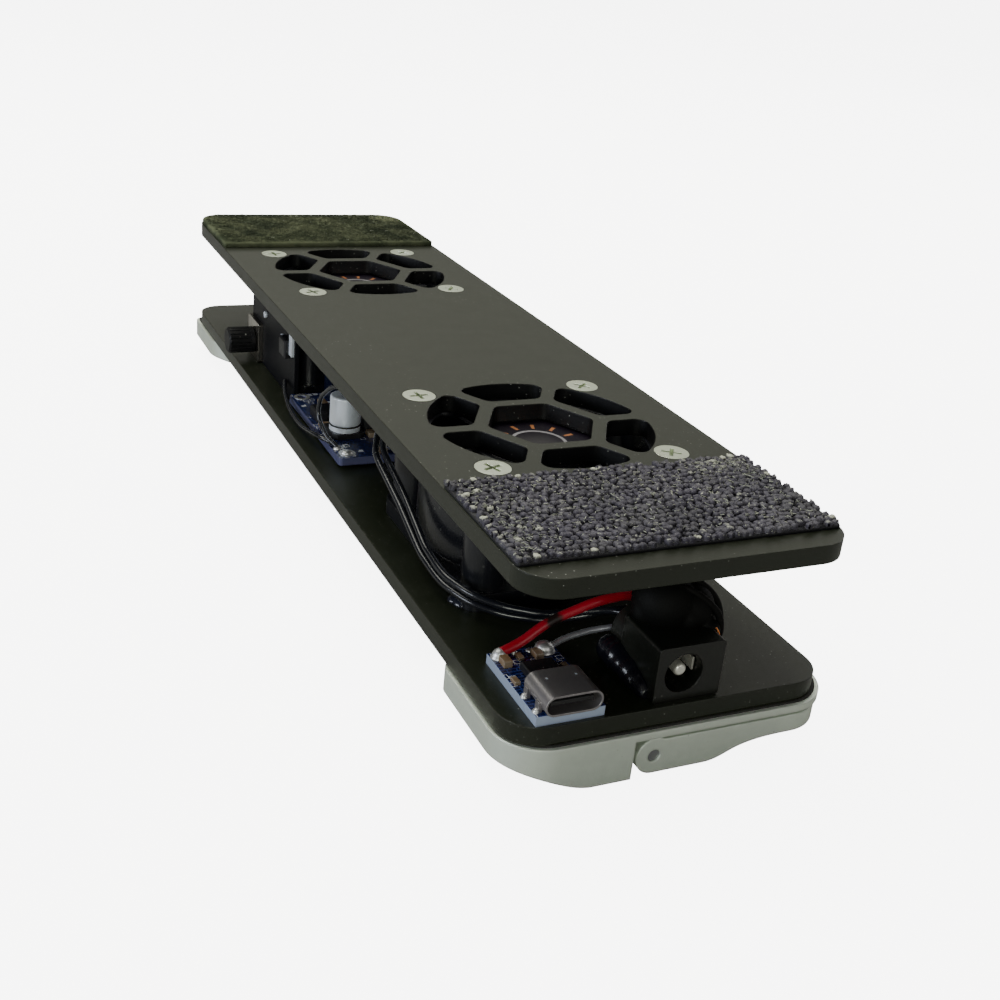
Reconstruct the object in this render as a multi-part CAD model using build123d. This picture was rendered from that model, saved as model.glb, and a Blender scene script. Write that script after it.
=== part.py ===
from build123d import *
import os
from math import atan, atan2, cos, degrees, hypot, pi, radians, sin, sqrt, tan

# A laptop cooling stand: two flat plates held apart by two square fans, with the power electronics
# on the lower plate and a folding foot under each end. Millimetres. X runs across the stand, Y along
# it towards the rear, Z up. The origin is under the middle of the stand, on the table.

# ---------------------------------------------------------------- plates
PLATE_LENGTH = 200.0
PLATE_WIDTH = 53.0
PLATE_THICKNESS = 3.0
PLATE_CORNER_RADIUS = 6.0
# ---------------------------------------------------------------- fans
FAN_SIZE = 40.0
FAN_THICKNESS = 20.0
FAN_SCREW_PITCH = 32.0
FAN_SPACING = 96.5
FAN_FLANGE = 3.0
FAN_BORE_RADIUS = 18.8
FAN_WALL = 1.1
FAN_POST_RADIUS = 3.5
FAN_CORNER_RADIUS = 2.5
STRUT_WIDTH = 2.4
STRUT_THICKNESS = 2.0
HUB_RADIUS = 12.3
HUB_RECESS = 0.5
BLADE_COUNT = 7
BLADE_THICKNESS = 1.1
BLADE_TILT = 38.0
BLADE_TIP_CLEARANCE = 0.6
FAN_SHAFT_RADIUS = 1.0
RUNNING_CLEARANCE = 0.04
LABEL_RADIUS = 11.2
LABEL_THICKNESS = 0.15
# ---------------------------------------------------------------- air grille in each plate
GRILLE_APOTHEM = 8.6
GRILLE_RIB = 2.4
GRILLE_RADIUS = 19.3
GRILLE_FILLET = 2.0
# ---------------------------------------------------------------- screws
SCREW_RADIUS = 1.48
SCREW_LENGTH = 30.0
SCREW_HEAD_RADIUS = 2.9
SCREW_HEAD_RIM = 0.3
SCREW_HOLE_RADIUS = 1.65
NUT_ACROSS_FLATS = 5.5
NUT_HEIGHT = 2.4
SCREW_FIT = 0.02
# ---------------------------------------------------------------- feet
FOOT_HEIGHT = 7.6
FOOT_DEPTH = 26.0
FOOT_WIDTH = 55.5
FOOT_OVERHANG = 1.0
FOOT_SKIN = 1.2
FOOT_FRONT_RADIUS = 8.0
FOOT_BACK_RADIUS = 3.0
FOOT_EDGE = 0.4
TAPE_THICKNESS = 0.3
TAPE_INSET = 0.7
HINGE_FROM_RIGHT = 32.0
HINGE_HEIGHT = 3.2
HEEL_RADIUS = 3.0
KNUCKLE_GAP = 0.6
BLOCK_SIDE_THICKNESS = 3.8
LEG_GAP = 0.6
LEG_TIP_THICKNESS = 2.9
LUG_WIDTH = 10.0
LUG_RADIUS = 2.6
LUG_CLEARANCE = 0.3
HINGE_PIN_RADIUS = 1.0
FOOT_PAD_THICKNESS = 0.9
FOOT_PAD_WIDTH = 5.0
# ---------------------------------------------------------------- grip pads
GRIP_THICKNESS = 1.5
FRONT_GRIP_DEPTH = 26.0
FRONT_GRIP_INSET = 4.5
REAR_GRIP_DEPTH = 29.5
GRIP_EDGE_INSET = 0.2
# ---------------------------------------------------------------- supply board with its USB-C socket
BOARD_THICKNESS = 1.6
USB_BOARD_WIDTH = 10.7
USB_BOARD_LENGTH = 17.0
USB_BOARD_X = -17.4
USB_BOARD_INSET = 0.65
USB_WIDTH = 8.94
USB_HEIGHT = 3.26
USB_DEPTH = 6.9
USB_WALL = 0.3
USB_TONGUE_WIDTH = 6.7
USB_TONGUE_THICKNESS = 0.7
# ---------------------------------------------------------------- barrel jack, lying on its side
JACK_WIDTH = 11.0
JACK_HEIGHT = 9.0
JACK_LENGTH = 14.0
JACK_X = 0.4
JACK_SETBACK = 1.0
JACK_BORE_RADIUS = 3.15
JACK_PIN_RADIUS = 1.0
JACK_COLLAR_RADIUS = 1.3
JACK_FLANGE = 10.4
JACK_BORE_DEPTH = 10.0
BEAD_RADIUS = 2.2
# ---------------------------------------------------------------- step-up converter board
CONVERTER_WIDTH = 21.0
CONVERTER_LENGTH = 36.0
CONVERTER_X = -11.8
CONVERTER_FRONT = -9.6
CONVERTER_TAPE = 0.5
CAN_RADIUS = 3.15
CAN_HEIGHT = 7.2
CAN_BASE = 1.1
# ---------------------------------------------------------------- fan speed control, standing beside the rear fan
CONTROL_THICKNESS = 1.0
CONTROL_GAP = 0.2
CONTROL_HEIGHT = 15.6
CONTROL_LENGTH = 35.9
POT_Y = 57.8
POT_WIDTH = 9.5
POT_THICKNESS = 1.1
POT_HEIGHT = 9.4
KNOB_RADIUS = 3.0
KNOB_LENGTH = 6.2
# ---------------------------------------------------------------- wires
SUPPLY_WIRE_DIAMETER = 1.5
RETURN_WIRE_DIAMETER = 1.0
PAIR_WIRE_DIAMETER = 1.2
THIN_WIRE_DIAMETER = 0.9
PAIR_TWIST_RADIUS = 0.74
PAIR_TURN = 120.0

# ---------------------------------------------------------------- levels and places that follow
LOWER_BOTTOM = FOOT_HEIGHT + TAPE_THICKNESS
LOWER_TOP = LOWER_BOTTOM + PLATE_THICKNESS
UPPER_BOTTOM = LOWER_TOP + FAN_THICKNESS
UPPER_TOP = UPPER_BOTTOM + PLATE_THICKNESS
FRONT_FAN_Y = -FAN_SPACING / 2
REAR_FAN_Y = FAN_SPACING / 2
FRONT_EDGE = -PLATE_LENGTH / 2
REAR_EDGE = PLATE_LENGTH / 2
FOOT_RIGHT = PLATE_WIDTH / 2 + 2.0
FOOT_LEFT = FOOT_RIGHT - FOOT_WIDTH
HINGE_X = FOOT_RIGHT - HINGE_FROM_RIGHT
SPLIT_X = HINGE_X - HEEL_RADIUS - KNUCKLE_GAP

os.makedirs("parts", exist_ok=True)


def save(shape, name):
    """Name a piece and write it to its own file."""
    shape.label = name
    export_step(shape, os.path.join("parts", name + ".step"))
    print(f"{name}: {shape.volume:.2f} mm3, {len(shape.solids())} solid(s)")


def at(shape, x=0.0, y=0.0, z=0.0):
    """Return the shape moved to a place."""
    return shape.moved(Location((x, y, z)))


def block(x0, x1, y0, y1, z0, z1):
    """A box between two corners."""
    return at(Box(x1 - x0, y1 - y0, z1 - z0), (x0 + x1) / 2, (y0 + y1) / 2, (z0 + z1) / 2)


def rod(radius, z0, z1, x=0.0, y=0.0):
    """An upright cylinder."""
    return at(Cylinder(radius, z1 - z0), x, y, (z0 + z1) / 2)


def ring(outer, inner, z0, z1, x=0.0, y=0.0):
    """An upright tube."""
    return rod(outer, z0, z1, x, y) - rod(inner, z0 - 1, z1 + 1, x, y)


def rod_x(radius, x0, x1, y, z):
    """A cylinder lying along X."""
    return Cylinder(radius, x1 - x0, rotation=(0, 90, 0)).moved(Location(((x0 + x1) / 2, y, z)))


def rod_y(radius, y0, y1, x, z):
    """A cylinder lying along Y."""
    return Cylinder(radius, y1 - y0, rotation=(90, 0, 0)).moved(Location((x, (y0 + y1) / 2, z)))


def upright(face, z0, z1):
    """Extrude a flat plan up from z0 to z1."""
    return at(extrude(face, amount=z1 - z0), 0, 0, z0)


def rounded_plan(x0, x1, y0, y1, front_left, front_right, back_right, back_left):
    """A rectangle in plan whose four corners have their own radii."""
    c = 1 - 1 / sqrt(2)
    points = []
    corners = [
        ((x0, y0), front_left, (1, 1)),
        ((x1, y0), front_right, (-1, 1)),
        ((x1, y1), back_right, (-1, -1)),
        ((x0, y1), back_left, (1, -1)),
    ]
    edges = []
    for i, ((x, y), r, (sx, sy)) in enumerate(corners):
        along_x = (x + sx * r, y)
        along_y = (x, y + sy * r)
        middle = (x + sx * r * c, y + sy * r * c)
        first, last = (along_y, along_x) if i in (0, 2) else (along_x, along_y)
        points.append((first, middle, last))
    for i in range(4):
        first, middle, last = points[i]
        edges.append(ThreePointArc(first, middle, last).edge())
        edges.append(Line(last, points[(i + 1) % 4][0]).edge())
    return make_face(Wire(edges))


def hexagon(apothem, x=0.0, y=0.0):
    """A hexagon in plan with flats facing front and rear."""
    r = apothem / cos(pi / 6)
    points = [(x + r * cos(radians(60 * i)), y + r * sin(radians(60 * i))) for i in range(6)]
    return make_face(Polyline(*points, close=True))


def grille_cutters(z0, z1):
    """The seven air openings of one grille, about the Z axis."""
    limit = make_face(CenterArc((0, 0), GRILLE_RADIUS, 0, 360))
    pitch = 2 * GRILLE_APOTHEM + GRILLE_RIB
    centres = [(0.0, 0.0)]
    for i in range(6):
        a = radians(30 + 60 * i)
        centres.append((pitch * cos(a), pitch * sin(a)))
    cutters = []
    for x, y in centres:
        cell = hexagon(GRILLE_APOTHEM, x, y) & limit
        solid = upright(cell.faces()[0], z0, z1)
        cutters.append(fillet(solid.edges().filter_by(Axis.Z), GRILLE_FILLET))
    return cutters


def screw_places(fan_y):
    """The four screw centres of one fan."""
    h = FAN_SCREW_PITCH / 2
    return [(sx * h, fan_y + sy * h) for sx in (-1, 1) for sy in (-1, 1)]


def countersink(x, y, spare):
    """The cone and rim of a flush screw head, grown by a clearance."""
    cone_depth = SCREW_HEAD_RADIUS - SCREW_RADIUS
    rim = rod(SCREW_HEAD_RADIUS + spare, UPPER_TOP - SCREW_HEAD_RIM, UPPER_TOP + spare, x, y)
    cone = Cone(SCREW_RADIUS + spare, SCREW_HEAD_RADIUS + spare, cone_depth)
    return rim + at(cone, x, y, UPPER_TOP - SCREW_HEAD_RIM - cone_depth / 2)


# ================================================================ plates
def plate(z0, z1, countersunk):
    """One plate, with a grille and four screw holes for each fan."""
    r = PLATE_CORNER_RADIUS
    w = PLATE_WIDTH / 2
    solid = upright(rounded_plan(-w, w, FRONT_EDGE, REAR_EDGE, r, r, r, r), z0, z1)
    cutters = grille_cutters(z0 - 1, z1 + 1)
    for fan_y in (FRONT_FAN_Y, REAR_FAN_Y):
        for cutter in cutters:
            solid -= at(cutter, 0, fan_y)
        for x, y in screw_places(fan_y):
            solid -= rod(SCREW_HOLE_RADIUS, z0 - 1, z1 + 1, x, y)
            if countersunk:
                solid -= countersink(x, y, 0.05)
    return solid


save(plate(UPPER_BOTTOM, UPPER_TOP, True), "top_plate")
save(plate(LOWER_BOTTOM, LOWER_TOP, False), "lower_plate")

# ================================================================ grip pads
grip_half = PLATE_WIDTH / 2 - GRIP_EDGE_INSET
front_grip_y = FRONT_EDGE + FRONT_GRIP_INSET
front_grip = upright(
    rounded_plan(-grip_half, grip_half, front_grip_y, front_grip_y + FRONT_GRIP_DEPTH, 0.5, 0.5, 0.5, 0.5),
    UPPER_TOP,
    UPPER_TOP + GRIP_THICKNESS,
)
save(front_grip, "front_grip_pad")
rear_grip_y = REAR_EDGE - GRIP_EDGE_INSET
rear_r = PLATE_CORNER_RADIUS
rear_grip = upright(
    rounded_plan(-grip_half, grip_half, rear_grip_y - REAR_GRIP_DEPTH, rear_grip_y, 0.5, 0.5, rear_r, rear_r),
    UPPER_TOP,
    UPPER_TOP + GRIP_THICKNESS,
)
save(rear_grip, "rear_grip_pad")


# ================================================================ fans
HUB_TOP = FAN_THICKNESS - HUB_RECESS
HUB_BASE_RADIUS = 11.0
HUB_BASE_THICKNESS = 1.6
TUBE_RADIUS = 3.4
TUBE_TOP = 13.6
BEARING_RADIUS = 2.5
BOARD_RING_THICKNESS = 1.0
CORE_BOTTOM = 4.2
CORE_TOP = 10.8
MAGNET_INNER = 9.7
MAGNET_OUTER = 10.7
YOKE_OUTER = 11.3


def fan_frame():
    """The square frame with its round shroud, struts, motor base and bearing tube."""
    half = FAN_SIZE / 2
    r = FAN_CORNER_RADIUS
    plan = rounded_plan(-half, half, -half, half, r, r, r, r)
    solid = upright(plan, 0, FAN_FLANGE) + upright(plan, FAN_THICKNESS - FAN_FLANGE, FAN_THICKNESS)
    solid += rod(FAN_BORE_RADIUS + FAN_WALL, 0, FAN_THICKNESS)
    h = FAN_SCREW_PITCH / 2
    for sx in (-1, 1):
        for sy in (-1, 1):
            solid += rod(FAN_POST_RADIUS, 0, FAN_THICKNESS, sx * h, sy * h)
    solid -= rod(FAN_BORE_RADIUS, -1, FAN_THICKNESS + 1)
    for sx in (-1, 1):
        for sy in (-1, 1):
            solid -= rod(SCREW_HOLE_RADIUS, -1, FAN_THICKNESS + 1, sx * h, sy * h)
    base = rod(HUB_BASE_RADIUS, 0, HUB_BASE_THICKNESS)
    for i in range(4):
        reach = FAN_BORE_RADIUS + 0.5
        strut = block(HUB_BASE_RADIUS - 1, reach, -STRUT_WIDTH / 2, STRUT_WIDTH / 2, 0, STRUT_THICKNESS)
        base += strut.rotate(Axis.Z, 45 + 90 * i)
    base += rod(TUBE_RADIUS, 0, TUBE_TOP)
    base -= rod(BEARING_RADIUS, HUB_BASE_THICKNESS, TUBE_TOP + 1)
    return solid + base


def fan_bearing():
    """The plain bearing sleeve pressed in the tube."""
    bore = FAN_SHAFT_RADIUS + RUNNING_CLEARANCE
    return ring(BEARING_RADIUS - SCREW_FIT, bore, HUB_BASE_THICKNESS + 0.4, TUBE_TOP)


def fan_board():
    """The ring-shaped drive board on the motor base."""
    z0 = HUB_BASE_THICKNESS
    return ring(HUB_BASE_RADIUS - 1.6, TUBE_RADIUS + SCREW_FIT, z0, z0 + BOARD_RING_THICKNESS)


def stator_arm(i):
    """One of the four pole arms with its curved shoe."""
    mid = (CORE_BOTTOM + CORE_TOP) / 2
    arm = block(4.5, 8.6, -1.2, 1.2, CORE_BOTTOM + 1.6, CORE_TOP - 1.6)
    shoe = ring(9.3, 8.3, CORE_BOTTOM + 1.0, CORE_TOP - 1.0)
    shoe &= block(0, 12, -5.2, 5.2, mid - 5, mid + 5)
    return (arm + shoe).rotate(Axis.Z, 90 * i)


def fan_stator():
    """The laminated core on the bearing tube."""
    core = ring(5.1, TUBE_RADIUS + SCREW_FIT, CORE_BOTTOM + 1.0, CORE_TOP - 1.0)
    for i in range(4):
        core += stator_arm(i)
    return core


def fan_coils():
    """The four windings, one round each pole arm."""
    coils = []
    for i in range(4):
        coil = block(5.3, 7.7, -2.6, 2.6, CORE_BOTTOM + 0.2, CORE_TOP - 0.2)
        coil = fillet(coil.edges().filter_by(Axis.X), 0.8)
        coil -= block(5.0, 8.5, -1.22, 1.22, CORE_BOTTOM + 1.58, CORE_TOP - 1.58)
        coils.append(coil.rotate(Axis.Z, 90 * i))
    return Compound(children=coils)


def fan_blade():
    """One curved, tilted blade reaching along +X from the hub."""
    bend = 22.0
    outer = Circle(bend + BLADE_THICKNESS / 2)
    inner = Circle(bend - BLADE_THICKNESS / 2)
    band = Plane.YZ * (outer - inner)
    band = extrude(band, amount=FAN_BORE_RADIUS + 4)
    band = band.moved(Location((2.0, -bend, 0)))
    band = band.rotate(Axis.X, -BLADE_TILT)
    tip = FAN_BORE_RADIUS - BLADE_TIP_CLEARANCE
    sector = ring(tip, HUB_RADIUS - 0.4, -7.6, 7.6) & block(0, 25, -9.5, 9.5, -7.6, 7.6)
    blade = band & sector
    solids = [s for s in blade.solids() if s.center().X > 0]
    return max(solids, key=lambda s: s.volume)


def fan_impeller():
    """The hub cup with its blades and the boss that grips the shaft."""
    cup = ring(HUB_RADIUS, YOKE_OUTER + SCREW_FIT, 3.4, HUB_TOP - 1.2)
    cap = rod(HUB_RADIUS, HUB_TOP - 1.2, HUB_TOP)
    solid = cup + fillet(cap.edges().group_by(Axis.Z)[-1], 0.5)
    boss = rod(2.2, TUBE_TOP + 0.5, HUB_TOP - 1.2)
    solid += boss
    solid -= rod(FAN_SHAFT_RADIUS + 0.005, TUBE_TOP, HUB_TOP - 1.2)
    blade = at(fan_blade(), 0, 0, FAN_THICKNESS / 2 + 0.6)
    for i in range(BLADE_COUNT):
        solid += blade.rotate(Axis.Z, 360 / BLADE_COUNT * i)
    return solid


def fan_rotor_steel():
    """The yoke ring inside the hub cup and the shaft that runs in the bearing."""
    yoke = ring(YOKE_OUTER, MAGNET_OUTER + SCREW_FIT, 3.8, HUB_TOP - 1.2)
    shaft = rod(FAN_SHAFT_RADIUS, HUB_BASE_THICKNESS + 0.1, HUB_TOP - 1.2)
    return Compound(children=[yoke, shaft])


def fan_magnet():
    """The magnet ring inside the yoke."""
    return ring(MAGNET_OUTER, MAGNET_INNER, 4.0, 12.6)


def fan_label():
    """The round paper label on the hub."""
    return rod(LABEL_RADIUS, HUB_TOP, HUB_TOP + LABEL_THICKNESS)


def screw_set(fan_y):
    """Four countersunk cross-recess screws."""
    screws = []
    for x, y in screw_places(fan_y):
        screw = countersink(x, y, 0.0)
        screw += rod(SCREW_RADIUS, UPPER_TOP - SCREW_LENGTH, UPPER_TOP - SCREW_HEAD_RIM, x, y)
        recess = block(-1.7, 1.7, -0.32, 0.32, -1.2, 1.0) + block(-0.32, 0.32, -1.7, 1.7, -1.2, 1.0)
        turn = 20 + 37 * ((x > 0) + 2 * (y > fan_y))
        screws.append(screw - at(recess.rotate(Axis.Z, turn), x, y, UPPER_TOP))
    return Compound(children=screws)


def nut_set(fan_y):
    """Four hexagon nuts under the lower plate."""
    nuts = []
    for x, y in screw_places(fan_y):
        nut = upright(hexagon(NUT_ACROSS_FLATS / 2, x, y), LOWER_BOTTOM - NUT_HEIGHT, LOWER_BOTTOM)
        nuts.append(nut - rod(SCREW_RADIUS + SCREW_FIT, LOWER_BOTTOM - 10, LOWER_BOTTOM + 1, x, y))
    return Compound(children=nuts)


FAN_PLACES = (("front", FRONT_FAN_Y), ("rear", REAR_FAN_Y))
fan_pieces = {
    "frame": fan_frame(),
    "stator_core": fan_stator(),
    "coils": fan_coils(),
    "impeller": fan_impeller(),
    "rotor_steel": fan_rotor_steel(),
    "magnet": fan_magnet(),
    "hub_label": fan_label(),
}
for end, fan_y in FAN_PLACES:
    for piece, shape in fan_pieces.items():
        save(at(shape, 0, fan_y, LOWER_TOP), f"{end}_fan_{piece}")
    save(screw_set(fan_y), f"{end}_fan_screws")
    save(nut_set(fan_y), f"{end}_fan_nuts")
for name, shape in (("fan_bearings", fan_bearing()), ("fan_drive_boards", fan_board())):
    save(Compound(children=[at(shape, 0, fan_y, LOWER_TOP) for end, fan_y in FAN_PLACES]), name)


# ================================================================ folding feet
def foot_plan(front_y, back_y, inset=0.0):
    """The foot seen from above: generous front corners, tighter back ones."""
    fr = FOOT_FRONT_RADIUS - inset
    br = FOOT_BACK_RADIUS - inset
    left = FOOT_LEFT + inset
    right = FOOT_RIGHT - inset
    return rounded_plan(left, right, front_y + inset, back_y - inset, fr, fr, br, br)


def side_profile(edges, y0, y1):
    """Extrude a closed X-Z outline from y0 to y1."""
    face = make_face(Wire(edges))
    return extrude(face, amount=y1 - y0, dir=(0, 1, 0)).moved(Location((0, y0, 0)))


def polyline_xz(points):
    """Straight edges through X-Z points."""
    return [Line((a[0], 0, a[1]), (b[0], 0, b[1])).edge() for a, b in zip(points, points[1:])]


def foot_base(front_y, back_y):
    """Thin top skin, the deep block at the left and the lug that carries the hinge pin."""
    mid_y = (front_y + back_y) / 2
    skin_z = FOOT_HEIGHT - FOOT_SKIN
    knuckle_left = SPLIT_X - 6.5
    side_z = FOOT_HEIGHT - BLOCK_SIDE_THICKNESS
    top = [(knuckle_left, 0.0), (SPLIT_X, 0.0), (SPLIT_X, skin_z), (FOOT_RIGHT, skin_z)]
    top += [(FOOT_RIGHT, FOOT_HEIGHT), (FOOT_LEFT, FOOT_HEIGHT), (FOOT_LEFT, side_z)]
    edges = polyline_xz(top)
    flow = Spline(
        (FOOT_LEFT, 0, side_z),
        ((FOOT_LEFT + knuckle_left) / 2, 0, side_z - 1.6),
        (knuckle_left, 0, 0.0),
        tangents=[(1, 0, -0.1), (1, 0, -0.1)],
    )
    edges.append(flow.edge())
    solid = side_profile(edges, front_y, back_y)
    solid &= upright(foot_plan(front_y, back_y), -1, FOOT_HEIGHT)
    lug = rod_y(LUG_RADIUS, mid_y - LUG_WIDTH / 2, mid_y + LUG_WIDTH / 2, HINGE_X, HINGE_HEIGHT)
    lug += block(
        SPLIT_X - 1,
        HINGE_X,
        mid_y - LUG_WIDTH / 2,
        mid_y + LUG_WIDTH / 2,
        HINGE_HEIGHT - 2.2,
        HINGE_HEIGHT + 2.2,
    )
    solid += lug
    bore = HINGE_PIN_RADIUS + SCREW_FIT
    solid -= rod_y(bore, mid_y - LUG_WIDTH, mid_y + LUG_WIDTH, HINGE_X, HINGE_HEIGHT)
    return solid


def foot_leg(front_y, back_y):
    """The swinging leg: a round heel, a blade and a thin rounded tip."""
    mid_y = (front_y + back_y) / 2
    top_z = FOOT_HEIGHT - FOOT_SKIN - LEG_GAP
    tip_x = FOOT_RIGHT - 0.5
    tip_r = (top_z - LEG_TIP_THICKNESS) / 2
    sole_x = HINGE_X + 8.7
    outline = polyline_xz([(HINGE_X, HINGE_HEIGHT - HEEL_RADIUS), (sole_x, HINGE_HEIGHT - HEEL_RADIUS)])
    slope = Spline(
        (sole_x, 0, HINGE_HEIGHT - HEEL_RADIUS),
        (sole_x + 5.0, 0, 1.6),
        (tip_x - tip_r, 0, LEG_TIP_THICKNESS),
        tangents=[(1, 0, 0), (1, 0, 0.05)],
    )
    outline.append(slope.edge())
    tip = ThreePointArc(
        (tip_x - tip_r, 0, LEG_TIP_THICKNESS),
        (tip_x, 0, LEG_TIP_THICKNESS + tip_r),
        (tip_x - tip_r, 0, top_z),
    )
    outline.append(tip.edge())
    outline += polyline_xz([(tip_x - tip_r, top_z), (HINGE_X, top_z), (HINGE_X, HINGE_HEIGHT - HEEL_RADIUS)])
    solid = side_profile(outline, front_y, back_y)
    solid += rod_y(HEEL_RADIUS, front_y, back_y, HINGE_X, HINGE_HEIGHT)
    solid &= upright(foot_plan(front_y, back_y, 0.3), -1, FOOT_HEIGHT)
    half = LUG_WIDTH / 2 + LUG_CLEARANCE
    solid -= block(HINGE_X - 8, HINGE_X + 4.0, mid_y - half, mid_y + half, -1, FOOT_HEIGHT)
    bore = HINGE_PIN_RADIUS + RUNNING_CLEARANCE
    solid -= rod_y(bore, front_y - 1, back_y + 1, HINGE_X, HINGE_HEIGHT)
    groove = FOOT_PAD_WIDTH
    solid -= block(
        sole_x - groove,
        sole_x,
        front_y + 3,
        back_y - 3,
        HINGE_HEIGHT - HEEL_RADIUS - 1,
        HINGE_HEIGHT - HEEL_RADIUS + FOOT_PAD_THICKNESS - 0.2,
    )
    return solid


def foot_sole(front_y, back_y):
    """The rubber strip let into the leg's underside."""
    sole_x = HINGE_X + 8.7
    z0 = HINGE_HEIGHT - HEEL_RADIUS - 0.2
    strip = block(
        sole_x - FOOT_PAD_WIDTH + 0.05,
        sole_x - 0.05,
        front_y + 3.05,
        back_y - 3.05,
        z0,
        z0 + FOOT_PAD_THICKNESS,
    )
    return fillet(strip.edges().group_by(Axis.Z)[0], 0.3)


pins = []
tapes = []
for end, front_y in (("front", FRONT_EDGE - FOOT_OVERHANG), ("rear", REAR_EDGE + FOOT_OVERHANG - FOOT_DEPTH)):
    back_y = front_y + FOOT_DEPTH
    save(foot_base(front_y, back_y), f"{end}_foot_base")
    save(foot_leg(front_y, back_y), f"{end}_foot_leg")
    save(foot_sole(front_y, back_y), f"{end}_foot_sole")
    pins.append(rod_y(HINGE_PIN_RADIUS, front_y + 0.6, back_y - 0.6, HINGE_X, HINGE_HEIGHT))
    tapes.append(upright(foot_plan(front_y, back_y, TAPE_INSET), FOOT_HEIGHT, LOWER_BOTTOM))
save(Compound(children=pins), "foot_hinge_pins")
save(Compound(children=tapes), "foot_tapes")

# ================================================================ USB-C supply board
BOARD_TOP = LOWER_TOP + BOARD_THICKNESS
usb_front = FRONT_EDGE + USB_BOARD_INSET
usb_left = USB_BOARD_X - USB_BOARD_WIDTH / 2
usb_right = USB_BOARD_X + USB_BOARD_WIDTH / 2
usb_back = usb_front + USB_BOARD_LENGTH
save(block(usb_left, usb_right, usb_front, usb_back, LOWER_TOP, BOARD_TOP), "usb_board")


def stadium_y(width, height, y0, y1, x, z):
    """A flat-sided rounded bar lying along Y."""
    r = height / 2
    solid = block(x - width / 2 + r, x + width / 2 - r, y0, y1, z - r, z + r)
    for s in (-1, 1):
        solid += rod_y(r, y0, y1, x + s * (width / 2 - r), z)
    return solid


usb_z = BOARD_TOP + USB_HEIGHT / 2
usb_y1 = FRONT_EDGE + USB_DEPTH
inner_w = USB_WIDTH - 2 * USB_WALL
inner_h = USB_HEIGHT - 2 * USB_WALL
shell = stadium_y(USB_WIDTH, USB_HEIGHT, FRONT_EDGE, usb_y1, USB_BOARD_X, usb_z)
shell -= stadium_y(inner_w, inner_h, FRONT_EDGE - 1, usb_y1 + 1, USB_BOARD_X, usb_z)
for s in (-1, 1):
    for y in (FRONT_EDGE + 1.5, FRONT_EDGE + 5.2):
        x0 = USB_BOARD_X + s * (USB_WIDTH / 2 - 0.3)
        shell += block(min(x0, x0 + s * 0.6), max(x0, x0 + s * 0.6), y, y + 1.1, BOARD_TOP, usb_z)
save(shell, "usb_shell")
inset = 0.02
usb_core = stadium_y(inner_w - 2 * inset, inner_h - 2 * inset, usb_y1 - 2.2, usb_y1 - 0.2, USB_BOARD_X, usb_z)
usb_core += block(
    USB_BOARD_X - USB_TONGUE_WIDTH / 2,
    USB_BOARD_X + USB_TONGUE_WIDTH / 2,
    FRONT_EDGE + 0.8,
    usb_y1 - 1.0,
    usb_z - USB_TONGUE_THICKNESS / 2,
    usb_z + USB_TONGUE_THICKNESS / 2,
)
save(usb_core, "usb_tongue")

chip_y = usb_back - 7.2
chip = block(USB_BOARD_X - 2.5, USB_BOARD_X + 2.5, chip_y - 1.9, chip_y + 1.9, BOARD_TOP + 0.1, BOARD_TOP + 1.4)
chip = chamfer(chip.edges().group_by(Axis.Z)[-1], 0.15)
leads = []
for i in range(4):
    for s in (-1, 1):
        x = USB_BOARD_X - 1.9 + 1.27 * i
        y0 = chip_y + s * 1.9
        y1 = chip_y + s * 2.9
        leads.append(block(x - 0.2, x + 0.2, min(y0, y1), max(y0, y1), BOARD_TOP, BOARD_TOP + 0.5))
save(chip, "usb_chip")
save(Compound(children=leads), "usb_chip_leads")
chip_parts = []
for x, y, w, d, h in (
    (-3.9, 3.4, 1.3, 2.1, 1.0),
    (1.6, 2.6, 1.3, 2.0, 0.9),
    (-1.2, 2.4, 0.9, 1.6, 0.5),
    (4.2, 6.5, 0.9, 1.6, 0.5),
    (-4.5, 8.2, 0.9, 1.6, 0.5),
):
    x0 = USB_BOARD_X + x
    y0 = usb_back - y
    chip_parts.append(block(x0 - w / 2, x0 + w / 2, y0 - d / 2, y0 + d / 2, BOARD_TOP, BOARD_TOP + h))
save(Compound(children=chip_parts), "usb_small_parts")

# ================================================================ barrel jack
jack_y0 = FRONT_EDGE + JACK_SETBACK
jack_y1 = jack_y0 + JACK_LENGTH
jack_left = JACK_X - JACK_HEIGHT / 2
jack_right = jack_left + JACK_WIDTH
jack_z = LOWER_TOP + JACK_HEIGHT / 2
jack = block(jack_left, jack_right, jack_y0, jack_y0 + JACK_FLANGE, LOWER_TOP, LOWER_TOP + JACK_HEIGHT)
jack = fillet(jack.edges().filter_by(Axis.Y), 0.5)
jack += rod_y(JACK_HEIGHT / 2 - 0.3, jack_y0 + 1, jack_y1, JACK_X, jack_z)
jack += block(JACK_X, jack_right - 0.4, jack_y0 + 1, jack_y1, LOWER_TOP, LOWER_TOP + JACK_HEIGHT - 0.4)
jack -= rod_y(JACK_BORE_RADIUS, jack_y0 - 1, jack_y0 + JACK_BORE_DEPTH, JACK_X, jack_z)
jack_floor = jack_y0 + JACK_BORE_DEPTH
jack -= rod_y(JACK_COLLAR_RADIUS + SCREW_FIT, jack_floor - 0.5, jack_y1 - 1.5, JACK_X, jack_z)
save(jack, "jack_housing")
pin = rod_y(JACK_PIN_RADIUS, jack_y0 + 0.8, jack_floor + 0.5, JACK_X, jack_z)
pin = fillet(pin.edges().group_by(Axis.Y)[0], 0.5)
pin += rod_y(JACK_COLLAR_RADIUS, jack_floor, jack_y1 - 1.5, JACK_X, jack_z)
contact_x = JACK_X + JACK_BORE_RADIUS
contact = block(contact_x - 0.55, contact_x - 0.25, jack_y0 + 2.0, jack_y0 + JACK_BORE_DEPTH, jack_z - 1.0, jack_z + 1.0)
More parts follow.
